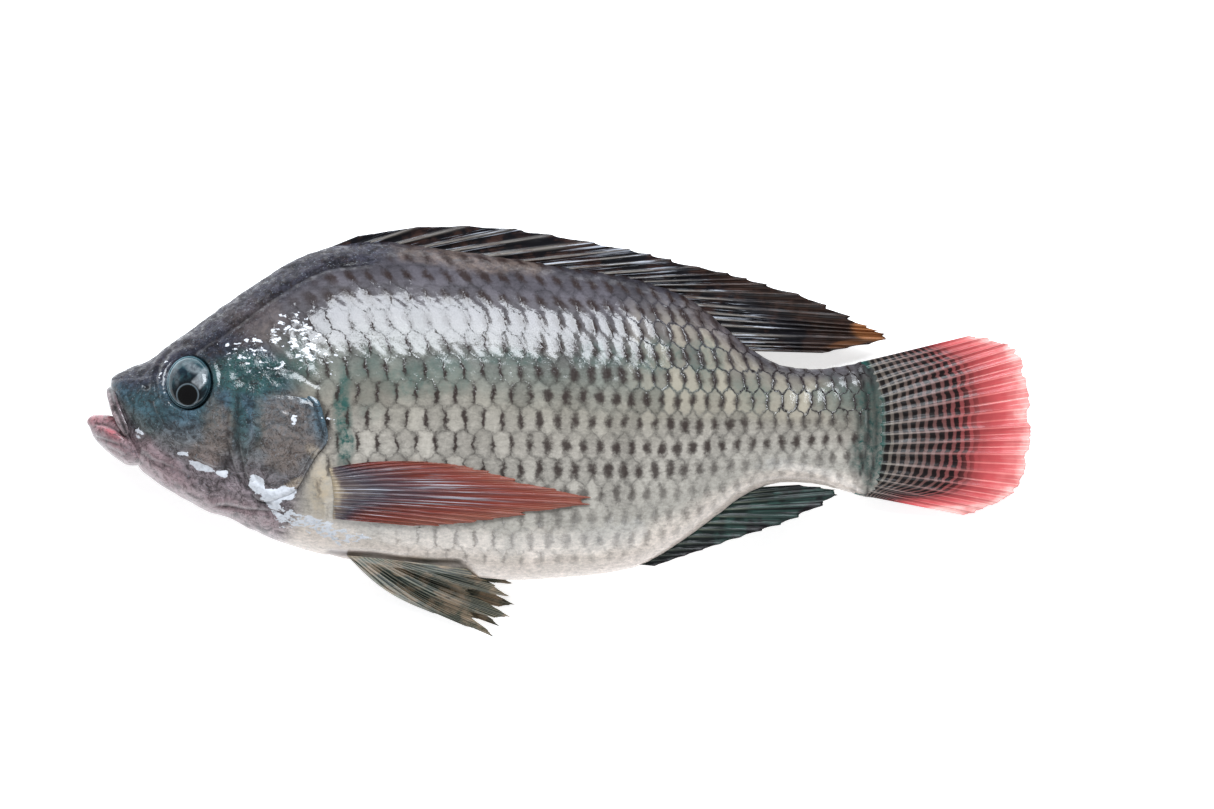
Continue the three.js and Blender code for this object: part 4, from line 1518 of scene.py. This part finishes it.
@dataclass(frozen=True)
class Eye:
    """One eye, a flattened ball of which the front shows."""

    side: Side
    skin: bpy.types.Material
    pupil: tuple[float, float] = (-117.3, 11.4)

    def mesh(self) -> bpy.types.Object:
        """The ball, with its distance from the pupil at every point.

        Returns:
            The eye.
        """
        polar = np.linspace(0.02, math.pi - 0.02, 90)[:, None]
        around = np.linspace(0, 2 * math.pi, 128, endpoint=False)[None, :]
        x = EYE[0] + EYE_RADII[0] * np.sin(polar) * np.cos(around)
        y = EYE[1] + EYE_RADII[1] * np.sin(polar) * np.sin(around)
        bulge = 0.35 * bell(np.hypot(x - self.pupil[0], y - self.pupil[1]), 4.2)
        dome = np.sqrt(np.clip(1 - np.sin(polar) ** 6, 0, 1)) * np.sign(np.cos(polar))
        z = EYE_RADII[2] * dome + 0 * around + np.where(np.cos(polar) > 0, bulge, 0)
        skin_height, _ = BODY.flank(x, y, self.side)
        rings = np.stack([x, y, skin_height + self.side.value * (z - EYE_SUNK)], axis=-1)
        edge = np.hypot((x - EYE[0]) / EYE_RADII[0], (y - EYE[1]) / EYE_RADII[1])
        turn = np.arctan2(y - EYE[1], x - EYE[0])
        above = bell(np.angle(np.exp(1j * (turn - 2.5))), 0.8)
        below = bell(np.angle(np.exp(1j * (turn + 2.3))), 0.7)
        # Painted highlight arcs near the dome's edge, strongest above and below on the left.
        lines = bell(edge - 0.92, 0.016) + 0.8 * bell(edge - 0.85, 0.012)
        traits = {
            "from_pupil": np.hypot(x - self.pupil[0], y - self.pupil[1]),
            "rim": np.clip(lines * np.clip(above + below + 0.15, 0, 1), 0, 1),
            # pale cloud above the pupil, partly a painted highlight
            "cloud_and_highlight": cover(
                (
                    Stroke(-113.2, 16.6, 1.8, 4.0, -30, 0.42),
                    Stroke(-115.6, 19.8, 3.6, 1.7, -30, 0.26),
                    Stroke(-121.0, 17.0, 1.3, 4.4, 8, 0.08),
                ),
                x,
                y,
                0.3,
            ),
        }
        return make_tube(f"{self.side.word}_eyeball", rings, traits, self.side is Side.RIGHT)

    def dress(self) -> None:
        """Sets the eye in the place of its CAD node."""
        settle(self.mesh(), self.skin, "eye_ball", f"{self.side.word}_eye")


@dataclass(frozen=True)
class UpperJaw:
    """The fleshy upper lip, a roll from one corner of the mouth round the snout to the other."""

    skin: bpy.types.Material
    half_path: Line = ((-136.9, -1.2, 9.8), (-139.5, 4.2, 8.2), (-141.6, 9.2, 5.4), (-142.6, 12.4, 0.0))
    width: float = 2.5
    depth: float = 1.7

    def mesh(self) -> bpy.types.Object:
        """The lip as a tube with folds along it.

        Returns:
            The lip.
        """
        right = [(x, y, -z) for x, y, z in self.half_path[:-1]][::-1]
        share = np.linspace(0, 1, 220)
        path = curve([*self.half_path, *right], share)
        path[:, 2] += BODY.middle_height(path[:, 0])
        tangent = np.gradient(path, axis=0)
        tangent /= np.linalg.norm(tangent, axis=1, keepdims=True)
        inside = np.array([-131.0, 7.0, float(BODY.middle_height(np.array(-131.0)))])
        out = path - inside
        out -= tangent * np.sum(out * tangent, axis=1, keepdims=True)
        out /= np.linalg.norm(out, axis=1, keepdims=True)
        across = np.cross(tangent, out)
        turn = np.linspace(0, 2 * math.pi, 56, endpoint=False)
        size = np.clip(1 - np.abs(2 * share - 1) ** 14, 0.02, 1) ** 0.5
        size = size * (0.86 + 0.14 * np.sin(math.pi * share))
        spots = path[:, None] + across[:, None] * np.sin(turn)[None, :, None] * 3
        folds = 0.11 * np.cos(5 * turn[None] + 1.1 * grain(spots, 6.0, 51)) + 0.06 * grain(spots, 2.2, 53, 2)
        swell = (1 + folds) * size[:, None]
        rings = path[:, None] + out[:, None] * (self.depth * np.cos(turn)[None] * swell)[..., None]
        rings = rings + across[:, None] * (self.width * np.sin(turn)[None] * swell)[..., None]
        valley = ease(0.02, -0.12, folds)
        traits = skin_marks(rings[..., 0], rings[..., 1])
        traits["lip"] = 0.18 * ease(0.0, 0.12, folds)
        # The lip is darkened all over, and painted shade deepens the valleys between its folds.
        traits["shade"] = 0.45 + 0.4 * valley
        traits["painted_shine"] = np.zeros_like(folds)
        return make_tube("upper_lip", rings, traits, True)

    def dress(self) -> None:
        """Sets the lip in the place of the CAD upper jaw."""
        settle(self.mesh(), self.skin, "jaw_skin", "upper_jaw")


@dataclass(frozen=True)
class LowerJaw:
    """The lower jaw with its lip and the folds of the chin, which run back into the throat."""

    skin: bpy.types.Material

    def mesh(self) -> bpy.types.Object:
        """The jaw with its relief and the traits that its skin reads.

        Returns:
            The jaw.
        """
        dense = np.linspace(0, 1, 4001)
        top, bottom, half = JAW.ends(dense)
        moved = np.maximum(
            np.linalg.norm(np.diff(top, axis=0), axis=1), np.linalg.norm(np.diff(bottom, axis=0), axis=1)
        )
        count = np.concatenate([[0], np.cumsum(np.maximum(moved, np.abs(np.diff(half))))])
        share = np.interp(np.linspace(0, count[-1], 130), count, dense)
        turn = np.linspace(0, 2 * math.pi, 160, endpoint=False)
        rings = JAW.rings(share, turn)
        normal = outward(rings)
        x, y = rings[..., 0], rings[..., 1]
        top, _, _ = JAW.ends(share)
        below = top[:, None, 1] - y
        lip = bell(below - 0.9, 1.3)
        gap = crease(((-147.6, 2.2), (-143.0, 1.6), (-138.2, -1.2)), x, y, 0.45)
        lobe = bell(np.hypot((x + 142.4) / 4.2, (y + 0.6 + 0.42 * (x + 142.4)) / 1.25), 1.0)
        under = crease(((-147.8, -2.0), (-143.6, -3.2), (-138.0, -5.2)), x, y, 0.55)
        folds = crease(((-144.5, -5.2), (-139.0, -7.4), (-131.0, -13.0)), x, y, 0.7)
        folds = np.maximum(folds, 0.8 * crease(((-139.5, -3.5), (-134.5, -7.0), (-126.0, -13.5)), x, y, 0.7))
        swell = 0.75 * lip - 0.4 * gap + 0.8 * lobe - 0.3 * under - 0.2 * folds
        swell += 0.12 * grain(rings, 3.0, 61, 2)
        fade = ease(0, 5, np.arange(len(share)))[:, None]
        rings = rings + normal * (swell * fade)[..., None]
        centre = rings.mean(axis=1, keepdims=True)
        rings = centre + (rings - centre) * (1 - 0.62 * ease(-139.0, -131.0, centre[..., :1]))
        traits = skin_marks(x, y)
        front = ease(-136, -141, x)
        traits["tone"] = 0.10 + 0.14 * lip * front
        traits["lip"] = np.clip(0.95 * lobe + 0.55 * lip * front + 0.15 * front, 0, 1)
        traits["blush"] = np.clip(traits["blush"] + 0.3 * front, 0, 1)
        traits["crinkle"] = 0.4 + 0 * x
        # Painted shade in the mouth's gap and in the creases under the lip and on the chin.
        traits["shade"] = np.clip(0.6 * gap + 0.45 * under + 0.25 * folds, 0, 0.9)
        return make_tube("chin_and_lower_lip", rings, traits)

    def dress(self) -> None:
        """Sets the jaw in the place of its CAD node."""
        settle(self.mesh(), self.skin, "jaw_skin", "lower_jaw")


class Sheet(NamedTuple):
    """Places on a fin's sheet."""

    x: Array  # along the fish
    y: Array  # across the fish
    reach: Array  # share of the way from the root to the edge
    share: Array  # share of the way along the fin


@dataclass(frozen=True)
class Fin:
    """A fin as a thin pleated sheet of rays between its root and its edge."""

    name: str
    nodes: tuple[str, ...]
    slot: str
    skin: bpy.types.Material
    root: Line
    edge: Line
    rays: int
    root_thickness: float = 1.8
    edge_thickness: float = 0.45
    ridge: float = 0.20  # height of each ray above the membrane
    pleat: float = 0.25
    overlap: float = 0.0  # how far each ray lies over the next one, in millimetres
    tips: float = 0.0  # how far the rays stand out of the membrane's edge, as a share
    fray: float = 0.015
    crowding: float = 1.0  # above 1, the rays stand closer towards the rear
    forks: float = 0.3  # share of the way to the edge at which the ridges fork
    unevenness: float = 0.12  # of the spacing of the rays, in rays
    steps: int = 46
    cells: int = 12  # points across each gap between rays
    turn: float = 0.0  # degrees about the first point of the root
    bow: float = 0.0

    def height(self, at: Sheet) -> Array:
        """Height of the sheet's middle above the surface that the fish lies on."""
        return BODY.middle_height(at.x) + 0 * at.reach * at.share

    def marks(self, at: Sheet) -> tuple[Array, Array]:
        """The reach that colours follow, and how strongly the fin is stained."""
        return at.reach, np.zeros_like(at.x)

    def mesh(self) -> bpy.types.Object:
        """The fin as one closed sheet.

        Returns:
            The fin.
        """
        share = np.linspace(0, 1, self.rays * self.cells + 1)[:, None]
        reach = np.linspace(0, 1, self.steps)[None, :]
        start, end = curve(self.root, share[:, 0])[:, None], curve(self.edge, share[:, 0])[:, None]
        ray = self.rays * share**self.crowding
        uneven = grain(np.concatenate([ray[:, :1], 0 * share], axis=-1), 2.0, 79)[:, None]
        ray = ray + self.unevenness * uneven
        near = np.abs(np.mod(ray, 1) - 0.5) * 2
        near_half = np.abs(np.mod(2 * ray, 1) - 0.5) * 2
        edge_grain = grain(np.concatenate([share * 160, 0 * share], axis=-1), 3.0, 71, 3)[:, None]
        length = 1 + self.tips * (near**2 - 0.55) + self.fray * edge_grain
        flat = start + (end - start) * (reach * length)[..., None]
        way = end - start
        side_on = np.stack([way[..., 1], -way[..., 0]], axis=-1)
        side_on /= np.maximum(np.linalg.norm(side_on, axis=-1, keepdims=True), 1e-9)
        flat = flat + side_on * (self.bow * (1 - share) * np.sin(math.pi * reach))[..., None]
        x, y = flat[..., 0], flat[..., 1]
        at = Sheet(x, y, reach + 0 * share, share + 0 * reach)
        middle = self.height(at)
        split = ease(self.forks, self.forks + 0.25, reach)
        ridge = (1 - split) * ease(0.45, 1, near) + split * ease(0.35, 1, near_half)
        grow = ease(0.0, 0.25, reach)
        middle = middle + self.pleat * grow * (near - 0.5) + self.overlap * grow * (0.5 - np.mod(ray, 1))
        middle = middle + 0.25 * grow * grain(np.stack([x, y], axis=-1), 9.0, 73, 2)
        half = (self.root_thickness + (self.edge_thickness - self.root_thickness) * ease(0, 0.8, reach)) / 2
        half = half * (1 - 0.6 * ease(0.93, 1.0, reach)) + self.ridge * ridge * (1 - 0.5 * reach)
        upper = np.stack([x, y, middle + half], axis=-1)
        lower = np.stack([x, y, middle - half], axis=-1)
        rings = np.concatenate([upper, lower[:, ::-1]], axis=1)
        turn = math.radians(self.turn)
        about = np.array([self.root[0][0], self.root[0][1]])
        dx, dy = rings[..., 0] - about[0], rings[..., 1] - about[1]
        rings[..., 0] = about[0] + dx * math.cos(turn) - dy * math.sin(turn)
        rings[..., 1] = about[1] + dx * math.sin(turn) + dy * math.cos(turn)
        rings[..., 2] = np.maximum(rings[..., 2], 0.05)
        tint, stain = self.marks(at)
        traits = {
            "ray": np.broadcast_to(ray, (len(share), 2 * self.steps)),
            "reach": np.concatenate([tint, tint[:, ::-1]], axis=1),
            "stain": np.concatenate([stain, stain[:, ::-1]], axis=1),
        }
        first, second = rings[len(share) // 2, 0], rings[len(share) // 2 + 1, 0]
        out = rings[len(share) // 2, self.steps // 2] - first
        return make_tube(self.name, rings, traits, bool(np.cross(second - first, out)[2] > 0))

    def dress(self) -> None:
        """Sets the fin in the place of its CAD node."""
        settle(self.mesh(), self.skin, self.slot, *self.nodes)


@dataclass(frozen=True)
class BackFin(Fin):
    """The back fin, whose hindmost tip is orange."""

    orange: Sequence[Stroke] = (Stroke(98.5, 31.0, 6.5, 2.4, -22, 1.0), Stroke(92, 28.0, 8, 1.0, 10, 0.35))

    def marks(self, at: Sheet) -> tuple[Array, Array]:
        """The colour's reach, and the orange of the tip as the stain.

        Args:
            at: Places on the sheet.

        Returns:
            The reach to colour by, and the stain.
        """
        orange = cover(self.orange, at.x, at.y)
        dark = ease(42, 58, at.x) * ease(0.15, 0.45, at.reach)
        return np.clip(at.reach * (0.55 + 0.45 * ease(20, 45, at.x)) + 0.32 * dark, 0, 1), orange


@dataclass(frozen=True)
class TailFin(Fin):
    """The tail fin, barred near its base and pink along its borders."""

    def marks(self, at: Sheet) -> tuple[Array, Array]:
        """Pink follows the rear, lower and upper borders, and the bars stay inside it.

        Args:
            at: Places on the sheet.

        Returns:
            The reach to colour by, and where the bars are.
        """
        low = bell(at.share, 0.10)
        high = bell(1 - at.share, 0.07) * ease(0.4, 0.8, at.reach)
        tint = np.clip(at.reach + 0.28 * low * ease(0.05, 0.4, at.reach) + 0.04 * high, 0, 1)
        return tint, ease(0.74, 0.55, tint) * ease(0.02, 0.10, at.reach)


@dataclass(frozen=True)
class PectoralFin(Fin):
    """A breast fin, folded back along its flank."""

    side: Side = Side.LEFT

    def height(self, at: Sheet) -> Array:
        """The sheet lies just off the flank, or just off the surface under the fish."""
        off = 0.7 - 0.5 * (1 - np.minimum(1, at.reach * 4))
        return np.maximum(BODY.flank(at.x, at.y, self.side)[0] + self.side.value * off, 0.55)

    def marks(self, at: Sheet) -> tuple[Array, Array]:
        """The lowest rays and the uppermost ones turn red nearest to the root."""
        early = ease(0.05, 0.3, at.reach) * (0.32 * ease(0.5, 1, at.share) + 0.22 * bell(at.share, 0.1))
        return np.clip(at.reach + early, 0, 1), np.zeros_like(at.x)


@dataclass(frozen=True)
class PelvicFin(Fin):
    """A belly fin, hanging from the belly's edge down towards the surface."""

    side: Side = Side.LEFT

    def height(self, at: Sheet) -> Array:
        """The sheet droops from its root to its tips and stays off the flank.

        Args:
            at: Places on the sheet.

        Returns:
            One height for each place.
        """
        leading, innermost, droop = (4.0, 21.5, 2) if self.side is Side.LEFT else (1.1, 1.1, 3)
        sign = self.side.value
        tip = leading + (innermost - leading) * at.share**1.5
        middle = BODY.middle_height(at.x)
        hanging = tip + (middle + sign * 4.2 - tip) * (1 - at.reach) ** droop
        flank, off = BODY.flank(at.x, at.y, self.side)
        clear = sign * np.maximum(sign * hanging, sign * flank + 1.4 * np.minimum(1, 4 * at.reach))
        return np.where(off > 0.05, clear, hanging)


@dataclass(frozen=True)
class Softbox:
    """One soft light that faces the fish."""

    name: str
    place: tuple[float, float, float]  # in metres
    size: tuple[float, float]  # in metres
    power: float  # in watts
    roll: float = 0.0  # degrees about the line to the fish
    colour: tuple[float, float, float] = (0.89, 0.94, 1.0)

    def hang(self) -> None:
        """Hangs the light."""
        light = bpy.data.lights.new(self.name, "AREA")
        light.color = self.colour
        light.shape, light.size, light.size_y, light.energy = "RECTANGLE", *self.size, self.power
        lamp = bpy.data.objects.new(self.name, light)
        lamp.location = self.place
        facing = (-Vector(self.place)).to_track_quat("-Z", "Y")
        lamp.rotation_euler = (facing @ Quaternion((0, 0, 1), math.radians(self.roll))).to_euler()
        lamp.visible_camera = False
        bpy.context.scene.collection.objects.link(lamp)


@dataclass(frozen=True)
class Studio:
    """White card, soft lights and a camera that looks straight down."""

    width: float = 385.8  # of the view on the card, in millimetres
    centre: tuple[float, float] = (14.9, 8.4)
    lens: float = 200.0
    sensor: float = 36.0
    focus_height: float = 20.0
    sky: float = 0.32
    card_size: float = 6.0  # in metres
    card_drop: float = 0.00012  # below the fish, in metres
    lights: Sequence[Softbox] = (
        Softbox("window_softbox", (0.02, 0.79, 1.0), (1.04, 0.58), 30.0, 13.0),
        Softbox("fill_softbox", (0.25, -1.2, 0.62), (1.2, 0.5), 6.0),
    )

    def card(self) -> None:
        """Lays the card."""
        bpy.ops.mesh.primitive_plane_add(size=self.card_size, location=(0, 0, -self.card_drop))
        card = bpy.context.object
        card.name = "card"
        card.data.materials.append(Acrylic().make())

    def set_up(self) -> None:
        """Sets up the card, the lights, the world and the camera."""
        scene = bpy.context.scene
        self.card()
        for light in self.lights:
            light.hang()
        world = bpy.data.worlds.new("studio")
        world.use_nodes = True
        backdrop = world.node_tree.nodes["Background"]
        backdrop.inputs[0].default_value = (1.0, 1.0, 1.0, 1.0)
        backdrop.inputs[1].default_value = self.sky
        scene.world = world
        scene.view_settings.view_transform = "Standard"
        camera = bpy.data.cameras.new("overhead")
        camera.lens, camera.sensor_width, camera.clip_end = self.lens, self.sensor, 20.0
        distance = self.width * MM * self.lens / self.sensor
        eye = bpy.data.objects.new("overhead", camera)
        eye.location = (self.centre[0] * MM, self.centre[1] * MM, distance + self.focus_height * MM)
        scene.collection.objects.link(eye)
        scene.camera = eye


DARK_FIN = FinSkin(
    "wet_dark_fin_membrane",
    membrane=((0.0, "#0a0a0c"), (0.35, "#0d0d11"), (0.7, "#121116"), (0.92, "#151112"), (1.0, "#1f1512")),
    ray=((0.0, "#807a73"), (0.35, "#76706a"), (0.6, "#474342"), (0.8, "#242224"), (1.0, "#35271f")),
    ray_width=0.5,
    stains=0.8,
    sheen=0.9,
    coat=0.35,
    split_from=0.7,
)
VENT_FIN = FinSkin(
    "wet_vent_fin_membrane",
    membrane=((0.0, "#16211d"), (0.3, "#0f1614"), (0.7, "#0f0f11"), (1.0, "#131012")),
    ray=((0.0, "#7d8274"), (0.4, "#4f564e"), (0.8, "#2c2d2e"), (1.0, "#383336")),
    ray_width=0.42,
    stain="#35524a",
    stains=0.55,
    coat=0.35,
    split_from=0.6,
)
PELVIC_FIN = FinSkin(
    "wet_belly_fin_membrane",
    membrane=((0.0, "#5f6c62"), (0.2, "#28352f"), (0.6, "#1b2521"), (1.0, "#2c332c")),
    ray=((0.0, "#c9bdad"), (0.4, "#a9ad9d"), (0.8, "#a9a793"), (1.0, "#b5a88a")),
    ray_width=0.6,
    stain="#b89f86",
    stains=0.75,
)
RED_FIN = FinSkin(
    "wet_breast_fin_membrane",
    membrane=(
        (0.0, "#a5967f"),
        (0.05, "#544847"),
        (0.16, "#383038"),
        (0.36, "#43252a"),
        (0.5, "#54251f"),
        (0.7, "#6a2a22"),
        (1.0, "#7a3f33"),
    ),
    ray=(
        (0.0, "#b3a48c"),
        (0.07, "#6f6461"),
        (0.2, "#4f454d"),
        (0.45, "#7a4038"),
        (0.8, "#8a4638"),
        (1.0, "#a0705c"),
    ),
    sheen=0.75,
    split_from=0.4,
)
TAIL_FIN = FinSkin(
    "wet_tail_fin_membrane",
    membrane=(
        (0.0, "#1f4a44"),
        (0.05, "#27433f"),
        (0.10, "#575049"),
        (0.40, "#5a403d"),
        (0.54, "#6b3a39"),
        (0.68, "#8f3a3b"),
        (0.84, "#b94e50"),
        (0.93, "#cb6c6b"),
        (1.0, "#eaaaa4"),
    ),
    ray=(
        (0.0, "#2b5a53"),
        (0.05, "#44605a"),
        (0.10, "#8c867e"),
        (0.42, "#8d7672"),
        (0.58, "#9b6461"),
        (0.76, "#cf706c"),
        (0.92, "#e49690"),
        (1.0, "#f9d5cd"),
    ),
    ray_width=0.36,
    split_from=0.5,
    bar="#0b0809",
    bars=0.97,
    bar_gap=0.056,
)
GILL_SKIN = ScaledSkin("wet_gill_cover_skin")
LIP_SKIN = ScaledSkin("wet_lip_skin")


def median_fins(dark: bpy.types.Material, olive: bpy.types.Material, tail: bpy.types.Material) -> list[Fin]:
    """The fins of the middle plane.

    Args:
        dark: Finish of the back fin.
        olive: Finish of the vent fin.
        tail: Finish of the tail fin.

    Returns:
        The back fin, the vent fin and the tail fin.
    """
    back = BackFin(
        "back_fin",
        ("dorsal_fin",),
        "dark_fin",
        dark,
        root=(
            (-82, 54.6),
            (-66, 57.2),
            (-50, 57.4),
            (-34, 56.0),
            (-16, 53.2),
            (2, 50.2),
            (20, 47.2),
            (34, 43.6),
            (46, 37.4),
            (54, 31.0),
            (61, 25.4),
        ),
        edge=(
            (-64, 62.0),
            (-42, 65.0),
            (-18, 64.4),
            (2, 61.4),
            (22, 57.6),
            (39, 53.4),
            (59, 48.6),
            (81, 41.6),
            (98, 33.4),
            (104.6, 29.6),
            (84, 24.8),
        ),
        rays=22,
        crowding=1.35,
        overlap=1.2,
        tips=0.05,
        ridge=0.36,
        forks=0.75,
        unevenness=0.4,
    )
    vent = Fin(
        "vent_fin",
        ("anal_fin",),
        "dark_fin",
        olive,
        root=((24, -42.4), (32, -38.4), (40, -33.2), (48, -27.6), (55, -22.4), (62, -18.0)),
        edge=((30, -43.0), (43, -38.6), (58, -33.6), (74, -28.2), (88.5, -19.8), (76, -17.2)),
        rays=13,
        overlap=0.5,
        tips=0.06,
    )
    rear = TailFin(
        "tail_fin_sheet",
        ("tail_fin",),
        "tail_fin_skin",
        tail,
        root=((94, -20.2), (98, -12), (99.5, 0), (99, 12), (96, 22.0)),
        edge=(
            (129, -27.0),
            (137, -24.4),
            (146, -18.2),
            (149.8, -6),
            (150, 4),
            (149, 17),
            (145.6, 26),
            (139.6, 28.8),
            (131, 30.5),
        ),
        rays=17,
        root_thickness=2.0,
        pleat=0.45,
        tips=0.0,
        fray=0.016,
        steps=80,
    )
    return [back, vent, rear]


def paired_fins(red: bpy.types.Material, dark: bpy.types.Material) -> list[Fin]:
    """The breast fins and the belly fins.

    Args:
        red: Finish of the breast fins.
        dark: Finish of the belly fins.

    Returns:
        Both breast fins and both belly fins.
    """
    made: list[Fin] = []
    for side in Side:
        made.append(
            PectoralFin(
                f"{side.word}_breast_fin",
                (f"{side.word}_pectoral_fin",),
                "red_fin",
                red,
                root=((-72.5, -11.6), (-71.5, -16), (-71, -22), (-71.5, -27.6)),
                edge=(
                    (-47, -9.4),
                    (-36, -10.0),
                    (-25, -12.2),
                    (-9, -16.8),
                    (9.5, -21.9),
                    (-6, -25.2),
                    (-22, -28.0),
                    (-34, -29.5),
                    (-46, -29.9),
                ),
                rays=15,
                pleat=0.3,
                tips=0.03,
                fray=0.03,
                steps=60,
                bow=-0.8,
                side=side,
            )
        )
        made.append(
            PelvicFin(
                f"{side.word}_belly_fin",
                (f"{side.word}_pelvic_fin",),
                "dark_fin",
                dark,
                root=((-67.5, -39.4), (-63.0, -39.8), (-59.0, -40.2), (-55.0, -40.6), (-51.0, -41.0)),
                edge=(
                    (-41.0, -58.2),
                    (-22.0, -65.4),
                    (-28.5, -58.8),
                    (-16.4, -59.4),
                    (-30.0, -50.6),
                    (-16.4, -52.6),
                    (-30.0, -43.6),
                ),
                rays=12,
                pleat=0.4,
                tips=0.05,
                bow=2.6,
                turn=0.0 if side is Side.LEFT else 4.0,
                side=side,
            )
        )
    return made


def main() -> None:
    """Builds the fish piece by piece, and the studio round it."""
    logging.basicConfig(level=logging.INFO, format="%(name)s: %(message)s")
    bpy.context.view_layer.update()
    gill_skin, lip_skin, eyeball = GILL_SKIN.make(), LIP_SKIN.make(), Eyeball().make()
    Trunk().dress()
    for side in Side:
        GillCover(side, gill_skin).dress()
        Eye(side, eyeball).dress()
    UpperJaw(lip_skin).dress()
    LowerJaw(lip_skin).dress()
    fins = median_fins(DARK_FIN.make(), VENT_FIN.make(), TAIL_FIN.make())
    for fin in fins + paired_fins(RED_FIN.make(), PELVIC_FIN.make()):
        fin.dress()
    Studio().set_up()


if __name__ == "__main__":
    main()
